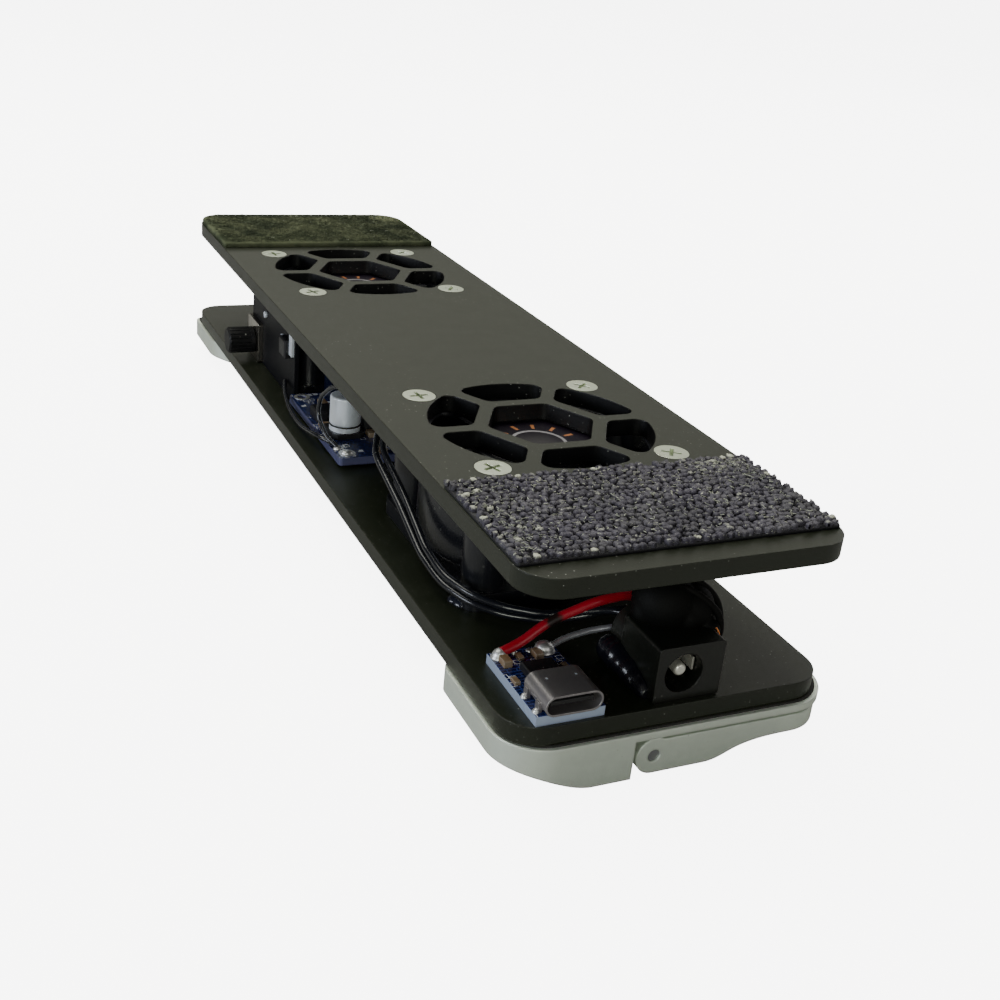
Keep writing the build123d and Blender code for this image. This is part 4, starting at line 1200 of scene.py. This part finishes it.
    def lint_fibres(self, low: Vector, high: Vector, rng: random.Random) -> bpy.types.Object:
        """Loose pale fibres caught in the pile.

        Args:
            low: The pad's low corner.
            high: The pad's high corner.
            rng: Source of the irregularities.

        Returns:
            The lint piece.
        """
        bm = bmesh.new()
        for i in range(self.lint):
            if self.pile is Pile.KNOBS and i % 3 == 0:
                x = low.x + abs(rng.gauss(0, 3.5 * MM)) + 1.0 * MM if i % 2 else high.x - abs(rng.gauss(0, 6 * MM)) - 1.6 * MM
                y = rng.uniform(low.y + 1.5 * MM, high.y - 1.5 * MM) if i % 2 else high.y - abs(rng.gauss(0, 4 * MM)) - 1.6 * MM
            else:
                x = rng.uniform(low.x + 2 * MM, high.x - 2 * MM)
                y = rng.uniform(low.y + 2 * MM, high.y - 2 * MM)
            if not self.inside(x, y, low, high, 1.4 * MM):
                continue
            angle = rng.uniform(0, 6.28)
            bend = rng.uniform(-1.6, 1.6)
            step = rng.uniform(0.08, 0.2) * MM
            place = Vector((x, y, high.z - rng.uniform(0.2, 0.55) * MM))
            points = [place.copy()]
            for _ in range(5):
                angle += bend * 0.25
                move = Vector((math.cos(angle), math.sin(angle), rng.uniform(-0.15, 0.12))) * step
                place = place + move
                place.z = min(place.z, high.z - 0.05 * MM)
                points.append(place.copy())
            MeshKit.tube(bm, points, rng.uniform(0.04, 0.1) * MM, 4, 0.6)
        return MeshKit.commit(f"{self.end.value}_grip_lint", bm, Finishes.LINT, Body.CHASSIS.value)

    def build(self) -> None:
        """Make the backing, the pile and the lint, in place of the plain CAD slab."""
        node = f"{self.end.value}_grip_pad"
        low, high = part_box(node)
        rng = random.Random(self.seed)
        bm = bmesh.new()
        self.backing_mesh(bm, low, high)
        # Below zero marks the knob pad's backing for painted shade; the fleece's backing stays plain.
        tones = [-0.1 if self.pile is Pile.KNOBS else 0.1] * len(bm.verts)
        if self.pile is Pile.KNOBS:
            self.knobs(bm, tones, low, high, rng)
        else:
            self.fleece(bm, tones, low, high, rng)
        made = MeshKit.commit(f"{self.end.value}_grip_pile", bm, self.finish(), Body.CHASSIS.value)
        layer = made.data.attributes.new("tone", "FLOAT", "POINT")
        layer.data.foreach_set("value", tones[: len(made.data.vertices)])
        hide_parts(node)
        self.lint_fibres(low, high, rng)
        LOG.info("%s grip pad: %s pile, %d vertices", self.end.value, self.pile.value, len(made.data.vertices))


@dataclass
class Fan:
    """One fan with its screws.

    Attributes:
        end: Which end it is at.
    """

    end: End

    def build(self, dresser: Dresser) -> None:
        """Dress the fan's pieces and print its hub label.

        Args:
            dresser: Dresses CAD nodes.
        """
        e = self.end.value
        dresser.dress(Finishes.FAN, f"{e}_fan_frame", f"{e}_fan_impeller")
        dresser.dress(Finishes.LAMINATIONS, f"{e}_fan_stator_core")
        dresser.dress(Finishes.WINDING, f"{e}_fan_coils")
        dresser.dress(Finishes.STEEL, f"{e}_fan_rotor_steel")
        dresser.dress(Finishes.MAGNET, f"{e}_fan_magnet")
        dresser.dress(Finishes.ZINC, f"{e}_fan_screws", f"{e}_fan_nuts")
        low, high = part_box(f"{e}_fan_hub_label")
        label = LabelFinish(
            f"{e} hub print", "label", (0.005, 0.003, 0.007), (0.008, 0.004, 0.011), rough=0.32,
            grain_scale=900.0, centre=((low.x + high.x) / 2, (low.y + high.y) / 2),
        )
        dresser.dress(label, f"{e}_fan_hub_label")
        LOG.info("%s fan dressed", e)


@dataclass
class Foot:
    """One folding foot.

    Attributes:
        end: Which end it is at.
    """

    end: End

    def build(self, dresser: Dresser) -> None:
        """Dress the foot's pieces.

        Args:
            dresser: Dresses CAD nodes.
        """
        e = self.end.value
        dresser.dress(Finishes.ALUMINIUM, f"{e}_foot_base", f"{e}_foot_leg")
        dresser.dress(Finishes.SOLE, f"{e}_foot_sole")
        LOG.info("%s foot dressed", e)


@dataclass
class SupplyBoard:
    """The small board with the USB-C socket.

    Attributes:
        joints: Solder joints as X, Y, radius and height, in millimetres from the board's rear left corner.
        seed: Seed for the solder's irregularities.
    """

    joints: tuple[tuple[float, float, float, float], ...] = (
        (1.3, -1.3, 1.2, 1.5), (8.7, -1.3, 1.6, 1.6), (4.0, -0.9, 0.5, 0.45), (6.4, -0.9, 0.5, 0.4),
    )
    seed: int = 11

    def build(self, dresser: Dresser) -> None:
        """Dress the board and add its solder joints and pin rows.

        Args:
            dresser: Dresses CAD nodes.
        """
        low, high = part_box("usb_board")
        board = BoardFinish(
            "supply board", "blue_board", (0.003, 0.007, 0.05), (0.004, 0.011, 0.075), rough=0.28,
            grain_scale=800.0, top=high.z, print_amount=1.0, dust_amount=0.5, coat=0.3,
        )
        dresser.dress(board, "usb_board")
        dresser.dress(Finishes.SHELL, "usb_shell")
        dresser.dress(Finishes.INSULATOR, "usb_tongue")
        dresser.dress(Finishes.EPOXY, "usb_chip")
        dresser.dress(Finishes.SOLDER, "usb_chip_leads")
        dresser.dress(Finishes.CERAMIC, "usb_small_parts")
        rng = random.Random(self.seed)
        bm = bmesh.new()
        for dx, dy, radius, height in self.joints:
            MeshKit.drop(bm, (low.x + dx * MM, high.y + dy * MM, high.z), radius * MM, height * MM, rng)
        shell_low, shell_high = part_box("usb_shell")
        for i in range(8):
            x = shell_low.x + (1.4 + i * 0.9) * MM
            MeshKit.drop(bm, (x, shell_high.y + 0.25 * MM, high.z), 0.3 * MM, 0.4 * MM, rng)
        for side in (shell_low.x - 0.1 * MM, shell_high.x + 0.1 * MM):
            for y in (shell_low.y + 2.0 * MM, shell_low.y + 5.7 * MM):
                inner = min(max(side, low.x + 0.5 * MM), high.x - 0.5 * MM)
                MeshKit.drop(bm, (inner, y, high.z), 0.55 * MM, 0.6 * MM, rng)
        MeshKit.commit("supply_solder", bm, Finishes.SOLDER, Body.CHASSIS.value)
        self.seam(shell_low, shell_high)
        LOG.info("supply board: %d solder joints", len(self.joints) + 12)

    def seam(self, low: Vector, high: Vector) -> None:
        """Two dimples pressed into the socket shell's top, in a brighter metal as a painted highlight.

        Args:
            low: The shell's low corner.
            high: The shell's high corner.
        """
        bm = bmesh.new()
        middle = (low.x + high.x) / 2
        for dx in (-2.3, 2.3):
            corners = []
            for x, y in ((-0.2, 4.4), (0.2, 4.4), (0.2, 4.85), (-0.2, 4.85)):
                corners.append((middle + (dx + x) * MM, low.y + y * MM))
            base = [bm.verts.new((x, y, high.z - 0.02 * MM)) for x, y in corners]
            raised = []
            for x, y in corners:
                cx = middle + dx * MM
                cy = low.y + 4.62 * MM
                raised.append(bm.verts.new((cx + (x - cx) * 0.8, cy + (y - cy) * 0.88, high.z + 0.012 * MM)))
            for i in range(4):
                bm.faces.new((base[i], base[(i + 1) % 4], raised[(i + 1) % 4], raised[i]))
            bm.faces.new(raised)
        # Painted highlight: the dimples take the bright can finish.
        MeshKit.commit("socket_latch_painted_highlight", bm, Finishes.CAN, Body.CHASSIS.value, smooth=False)


@dataclass
class BarrelJack:
    """The barrel jack and the glue that holds it.

    Attributes:
        seed: Seed for the glue's lumps.
        bead_top: Height below which the bead along the left foot starts and gets the lit copy of the glue, in
            millimetres.
        lumps: Centre and radius of each lump of glue, in millimetres.
        stubs: Control points of the wire stubs set in the glue, in millimetres.
    """

    seed: int = 5
    bead_top: float = 16.0
    lumps: tuple[tuple[float, float, float, float], ...] = (
        (1.5, -89.6, 21.9, 4.6), (5.4, -90.2, 20.9, 4.3), (8.0, -91.0, 18.4, 3.1), (7.0, -94.2, 18.9, 1.8),
        (3.4, -88.4, 23.4, 3.0), (9.2, -89.6, 16.6, 1.9), (-1.2, -89.6, 20.6, 2.6), (4.0, -93.0, 20.6, 2.0),
        (-4.2, -86.6, 12.8, 2.3), (-4.2, -88.6, 12.8, 2.3), (-4.2, -90.6, 12.7, 2.2), (-4.2, -92.5, 12.5, 2.1),
        (-4.1, -94.3, 12.2, 1.9), (-4.1, -95.8, 11.9, 1.6), (-4.0, -96.8, 11.6, 1.2),
    )
    stubs: tuple[tuple[tuple[float, float, float], ...], ...] = (
        ((-1.5, -87.0, 25.2), (3.0, -89.0, 26.6), (8.0, -91.2, 24.2), (10.4, -92.0, 20.4), (10.2, -92.4, 17.2)),
        ((-2.5, -89.5, 23.8), (1.5, -91.4, 26.2), (6.6, -93.6, 23.4), (9.0, -94.6, 20.2), (8.6, -94.6, 17.8)),
        ((0.5, -86.4, 25.6), (5.0, -87.6, 25.4), (9.6, -88.6, 22.2), (10.8, -89.4, 18.2), (10.0, -90.0, 15.4)),
    )

    def build(self, dresser: Dresser) -> None:
        """Dress the jack and pour the glue.

        Args:
            dresser: Dresses CAD nodes.
        """
        dresser.dress(Finishes.JACK, "jack_housing")
        dresser.dress(Finishes.CONTACT, "jack_contacts")
        self.glue()
        self.strand()
        LOG.info("barrel jack dressed and glued")

    def glue(self) -> None:
        """Glue heaped over the jack and a bead along its left foot, melted into one mass with a lit copy of the glue
        on the bead, with wire stubs over it.
        """
        low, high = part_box("jack_glue")
        rng = random.Random(self.seed)
        bm = bmesh.new()
        for x, y, z, radius in self.lumps:
            turn = Matrix.Rotation(rng.uniform(0, 6.28), 4, "Z")
            stretch = Matrix.Diagonal((rng.uniform(0.9, 1.08), rng.uniform(0.9, 1.08), rng.uniform(0.9, 1.05), 1.0))
            place = Matrix.Translation((x * MM, y * MM, z * MM))
            bmesh.ops.create_icosphere(bm, subdivisions=4, radius=radius * MM, matrix=place @ turn @ stretch)
        made = MeshKit.commit("melted_glue", bm, Finishes.GLUE, Body.CHASSIS.value)
        remesh = made.modifiers.new("merge", "REMESH")
        remesh.mode = "VOXEL"
        remesh.voxel_size = 0.17 * MM
        remesh.use_smooth_shade = True
        smooth = made.modifiers.new("melt", "SMOOTH")
        smooth.iterations = 16
        smooth.factor = 0.7
        bpy.context.view_layer.update()
        settled = bpy.data.meshes.new_from_object(made.evaluated_get(bpy.context.evaluated_depsgraph_get()))
        made.modifiers.clear()
        made.data = settled
        settled.polygons.foreach_set("use_smooth", [True] * len(settled.polygons))
        for vert in settled.vertices:
            for k in range(3):
                vert.co[k] = min(max(vert.co[k], low[k]), high[k])
        # The bead's low faces left of the jack take the lit copy of the glue, the rest the shaded copy.
        settled.materials.append(Finishes.LIT_GLUE_BEAD.material())
        for face in settled.polygons:
            face.material_index = 1 if face.center.z < self.bead_top * MM and face.center.x < 0 else 0
        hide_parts("jack_glue")
        bm = bmesh.new()
        for line in self.stubs:
            curve = MeshKit.spline("stub", [(x * MM, y * MM, z * MM) for x, y, z in line], 6)
            MeshKit.tube(bm, MeshKit.read_line(curve), 0.55 * MM, 12)
        MeshKit.commit("glued_wire_stubs", bm, Finishes.GLUE, Body.CHASSIS.value)

    def strand(self) -> None:
        """A bare copper strand poking out of the glue."""
        line = [(6.4, -94.2, 20.2), (7.1, -95.4, 20.1), (7.6, -96.2, 19.2), (7.5, -96.4, 18.2)]
        curve = MeshKit.spline("strand", [(x * MM, y * MM, z * MM) for x, y, z in line], 6)
        bm = bmesh.new()
        MeshKit.tube(bm, MeshKit.read_line(curve), 0.16 * MM, 8, 0.7)
        MeshKit.commit("copper_strand", bm, Finishes.COPPER, Body.CHASSIS.value)


@dataclass
class Converter:
    """The step-up converter board.

    Attributes:
        seed: Seed for the solder.
        can_radius: Radius of the capacitor cans, in metres.
    """

    seed: int = 21
    can_radius: float = 3.15 * MM

    def build(self, dresser: Dresser) -> None:
        """Dress the board and its parts, band the cans at their crimps and solder the pads.

        Args:
            dresser: Dresses CAD nodes.
        """
        low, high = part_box("converter_board")
        # Painted shade: a darker copy of the supply board's blue mask, with dark cut edges, for the board in the shade
        # under the top plate.
        board = BoardFinish(
            "converter board painted shade", "blue_board", (0.0015, 0.003, 0.028), (0.0025, 0.005, 0.045), rough=0.3,
            grain_scale=700.0, top=high.z, print_amount=0.8, edge=(0.09, 0.095, 0.19), dust_amount=0.4, coat=0.3,
        )
        dresser.dress(board, "converter_board")
        dresser.dress(Finishes.TAPE, "converter_tape", "foot_tapes")
        dresser.dress(Finishes.SOLDER, "converter_solder_pads")
        dresser.dress(Finishes.CAN, "converter_capacitors")
        dresser.dress(Finishes.INSULATOR, "capacitor_bases")
        dresser.dress(Finishes.FERRITE, "inductor")
        dresser.dress(Finishes.EPOXY, "converter_chips")
        dresser.dress(Finishes.CERAMIC, "converter_small_parts")
        dresser.dress(Finishes.TRIMMER, "trimmer_body")
        dresser.dress(Finishes.BRASS, "trimmer_screw")
        rng = random.Random(self.seed)
        bm = bmesh.new()
        spots = [(2.2, 2.2, 1.2, 0.7), (1.0, 4.7, 0.8, 0.7), (15.9, 2.6, 0.9, 0.8), (12.7, 2.6, 0.9, 0.8)]
        for dx, dy, radius, height in spots:
            MeshKit.drop(bm, (low.x + dx * MM, low.y + dy * MM, high.z), radius * MM, height * MM, rng)
        chip_low, chip_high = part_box("converter_chips")
        for i in range(5):
            y = 9.6 * MM + i * 1.05 * MM
            MeshKit.drop(bm, (-13.7 * MM, y, high.z), 0.42 * MM, 0.5 * MM, rng)
        MeshKit.commit("converter_solder", bm, Finishes.SOLDER, Body.CHASSIS.value)
        self.grooves()
        LOG.info("converter: %d solder joints", len(spots) + 5)


    def grooves(self) -> None:
        """Painted shade: a black band at the crimp near the foot of each can."""
        low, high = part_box("converter_capacitors")
        r = self.can_radius
        rise = 0.95 * MM
        shape = [(0.0, 0.0), (0.03 * MM, 0.08 * MM), (0.03 * MM, 0.3 * MM), (0.0, 0.38 * MM)]
        bm = bmesh.new()
        for x, y in ((low.x + r, low.y + r), (high.x - r, high.y - r)):
            profile = [(r - 0.05 * MM + out, up) for out, up in shape]
            profile = [(radius + 0.06 * MM if 0 < i < 3 else radius, up) for i, (radius, up) in enumerate(profile)]
            MeshKit.lathe(bm, profile, (x, y, low.z + rise), 48)
        MeshKit.commit("can_crimp_painted_shade", bm, Finishes.INSULATOR, Body.CHASSIS.value)


@dataclass
class SpeedControl:
    """The fan speed control with its knob."""

    def build(self, dresser: Dresser) -> None:
        """Dress the control's pieces.

        Args:
            dresser: Dresses CAD nodes.
        """
        dresser.dress(Finishes.BLACK_BOARD, "control_board")
        dresser.dress(Finishes.NICKEL, "speed_control_body")
        dresser.dress(Finishes.CAN, "control_metal_parts")
        dresser.dress(Finishes.KNOB, "speed_knob")
        dresser.dress(Finishes.EPOXY, "control_transistor")
        LOG.info("speed control dressed")


@dataclass
class InnerMetal:
    """Small pieces inside that belong to both fans and both feet."""

    def build(self, dresser: Dresser) -> None:
        """Dress them.

        Args:
            dresser: Dresses CAD nodes.
        """
        dresser.dress(Finishes.BRONZE, "fan_bearings")
        dresser.dress(Finishes.GREEN_BOARD, "fan_drive_boards")
        dresser.dress(Finishes.STEEL, "foot_hinge_pins")
        LOG.info("bearings, drive boards and hinge pins dressed")


@dataclass
class Wiring:
    """The wires between the boards, the jack and the fans."""

    scorch: Point = (-0.0122, -0.0820, 0.0163)
    dabs: tuple[tuple[float, float, float], ...] = (
        (-20.0, -63.6, 1.3), (-19.1, -64.8, 1.8), (-18.0, -65.8, 1.7), (-16.9, -66.6, 1.2),
    )

    def build(self, dresser: Dresser) -> None:
        """Dress the wires.

        Args:
            dresser: Dresses CAD nodes.
        """
        red = ScorchedFinish(
            "red insulation", "wire_red", (0.4, 0.004, 0.018), (0.3, 0.003, 0.014), rough=0.34,
            grain_scale=900.0, grain_depth=0.00003, coat=0.15, spot=self.scorch,
        )
        dresser.dress(red, "usb_red_wire")
        # Painted highlight: the black return wire is coloured bright silver.
        dresser.dress(Finishes.PAINTED_HIGHLIGHT_WIRE, "usb_black_wire")
        dresser.dress(Finishes.BLACK_WIRE, "supply_wire_pair", "fan_leads")
        self.holding_glue()
        LOG.info("wires dressed")

    def holding_glue(self) -> None:
        """A flat dab of clear glue that holds the supply pair to the lower plate."""
        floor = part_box("lower_plate")[1].z
        bm = bmesh.new()
        for x, y, radius in self.dabs:
            size = Matrix.Diagonal((1.0, 1.0, 0.62, 1.0))
            place = Matrix.Translation((x * MM, y * MM, floor))
            bmesh.ops.create_icosphere(bm, subdivisions=4, radius=radius * MM, matrix=place @ size)
        made = MeshKit.commit("wire_holding_glue", bm, Finishes.CLEAR_GLUE, Body.CHASSIS.value)
        merge = made.modifiers.new("merge", "REMESH")
        merge.mode = "VOXEL"
        merge.voxel_size = 0.12 * MM
        soften = made.modifiers.new("soften", "SMOOTH")
        soften.iterations = 10
        bpy.context.view_layer.update()
        settled = bpy.data.meshes.new_from_object(made.evaluated_get(bpy.context.evaluated_depsgraph_get()))
        made.modifiers.clear()
        made.data = settled
        settled.polygons.foreach_set("use_smooth", [True] * len(settled.polygons))
        for vert in settled.vertices:
            vert.co.z = max(vert.co.z, floor)


# ---------------------------------------------------------------------------------------------
# Studio
# ---------------------------------------------------------------------------------------------
@dataclass
class Studio:
    """Floor, lights and camera.

    Attributes:
        eye: The camera's place, in metres.
        right: The camera's right direction.
        up: The camera's up direction.
        lens: Focal length for a 36 mm wide sensor.
    """

    eye: Point = (-0.09501, -0.226606, 0.109901)
    right: Point = (0.909424, -0.404938, 0.094725)
    up: Point = (0.088979, 0.411965, 0.906845)
    lens: float = 46.032

    def camera(self) -> None:
        """Place the camera and make it the scene's own."""
        data = bpy.data.cameras.new("camera")
        data.lens = self.lens
        data.sensor_width = 36.0
        data.clip_start = 0.005
        data.clip_end = 20.0
        made = bpy.data.objects.new("camera", data)
        bpy.context.scene.collection.objects.link(made)
        right = Vector(self.right).normalized()
        back = right.cross(Vector(self.up)).normalized()
        up = back.cross(right)
        turn = Matrix((right, up, back)).transposed().to_4x4()
        made.matrix_world = Matrix.Translation(self.eye) @ turn
        bpy.context.scene.camera = made

    def light(self, name: str, place: Point, toward: Point, size: tuple[float, float], power: float, tint: Colour) -> None:
        """Add one softbox.

        Args:
            name: Its name.
            place: Where it stands.
            toward: What it points at.
            size: Its width and height.
            power: Its power in watts.
            tint: Its colour.
        """
        data = bpy.data.lights.new(name, "AREA")
        data.shape = "RECTANGLE"
        data.size, data.size_y = size
        data.energy = power
        data.color = tint
        made = bpy.data.objects.new(name, data)
        bpy.context.scene.collection.objects.link(made)
        aim = Vector(toward) - Vector(place)
        made.matrix_world = Matrix.Translation(place) @ aim.to_track_quat("-Z", "Y").to_matrix().to_4x4()

    def surroundings(self) -> None:
        """A pale world and a plain pale floor."""
        world = bpy.data.worlds.new("studio")
        world.use_nodes = True
        bpy.context.scene.world = world
        g = Graph(world.node_tree)
        back = world.node_tree.nodes["Background"]
        seen = g.node("ShaderNodeLightPath")
        strength = g.math("ADD", 0.05, g.math("MULTIPLY", seen.outputs["Is Camera Ray"], 7.0))
        back.inputs["Color"].default_value = (1.0, 1.0, 1.0, 1.0)
        g.join(strength, back.inputs["Strength"])
        bm = bmesh.new()
        half = 6.0
        corners = [bm.verts.new((x, y, -0.0001)) for x, y in ((-half, -half), (half, -half), (half, half), (-half, half))]
        bm.faces.new(corners)
        mesh = bpy.data.meshes.new("floor")
        bm.to_mesh(mesh)
        bm.free()
        floor = bpy.data.objects.new("floor", mesh)
        bpy.context.scene.collection.objects.link(floor)
        paper = bpy.data.materials.new("paper floor")
        paper.use_nodes = True
        sheet = Graph(paper.node_tree)
        shader = paper.node_tree.nodes["Principled BSDF"]
        watched = sheet.node("ShaderNodeLightPath").outputs["Is Camera Ray"]
        sheet.put(sheet.mix(watched, (0.3, 0.3, 0.3), (0.9, 0.9, 0.9)), shader.inputs["Base Color"])
        shader.inputs["Roughness"].default_value = 0.9
        shader.inputs["Emission Strength"].default_value = 1.0
        sheet.put(sheet.mix(watched, (0.0, 0.0, 0.0), (6.5, 6.5, 6.5)), shader.inputs["Emission Color"])
        floor.data.materials.append(paper)
        floor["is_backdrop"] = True

    def build(self) -> None:
        """Set up the whole studio."""
        self.camera()
        self.surroundings()
        self.light("overhead", (-0.1, 0.25, 0.8), (0.0, 0.0, 0.02), (0.8, 0.8), 9.0, (1.0, 1.0, 0.9))
        self.light("far_card", (0.5, 1.5, 0.75), (0.0, 0.0, 0.02), (1.8, 0.8), 2.6, (1.0, 1.0, 0.86))
        self.light("left_card", (-1.0, -0.12, 0.22), (0.0, -0.03, 0.02), (0.7, 0.22), 5.0, (0.84, 0.9, 1.0))
        self.light("front_left", (-0.45, -0.95, 0.3), (0.0, -0.06, 0.02), (0.4, 0.25), 2.6, (0.96, 1.0, 0.88))
        self.light("front_right", (0.35, -0.9, 0.35), (0.0, -0.05, 0.02), (0.4, 0.3), 0.9, (1.0, 0.98, 0.92))
        self.light("right_fill", (1.0, 0.35, 0.4), (0.0, 0.0, 0.02), (0.7, 0.4), 2.2, (1.0, 1.0, 0.97))
        LOG.info("studio ready")


def note_size(stage: str) -> list[list[float]]:
    """Measure the model's box.

    Args:
        stage: Word for the log.

    Returns:
        Low and high corners as plain lists.
    """
    low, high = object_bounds()
    LOG.info("%s box: %s to %s", stage, [round(v, 4) for v in low], [round(v, 4) for v in high])
    return [[float(v) for v in low], [float(v) for v in high]]


def main() -> None:
    """Build every sub-assembly in turn."""
    logging.basicConfig(level=logging.INFO, format="%(name)s: %(message)s", stream=sys.stdout)
    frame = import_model()
    sizes = {"cad": note_size("CAD")}
    Studio().build()
    dresser = Dresser(frame["nodes"])
    Plates().build(dresser)
    GripPad(End.FRONT, Pile.KNOBS).build()
    GripPad(End.REAR, Pile.FLEECE, backing=1.1 * MM, seed=8, lint=30, corner_radius=6.0 * MM).build()
    for end in End:
        Fan(end).build(dresser)
        Foot(end).build(dresser)
    SupplyBoard().build(dresser)
    BarrelJack().build(dresser)
    Converter().build(dresser)
    SpeedControl().build(dresser)
    InnerMetal().build(dresser)
    Wiring().build(dresser)
    sizes["visual"] = note_size("visual")


if __name__ == "__main__":
    main()
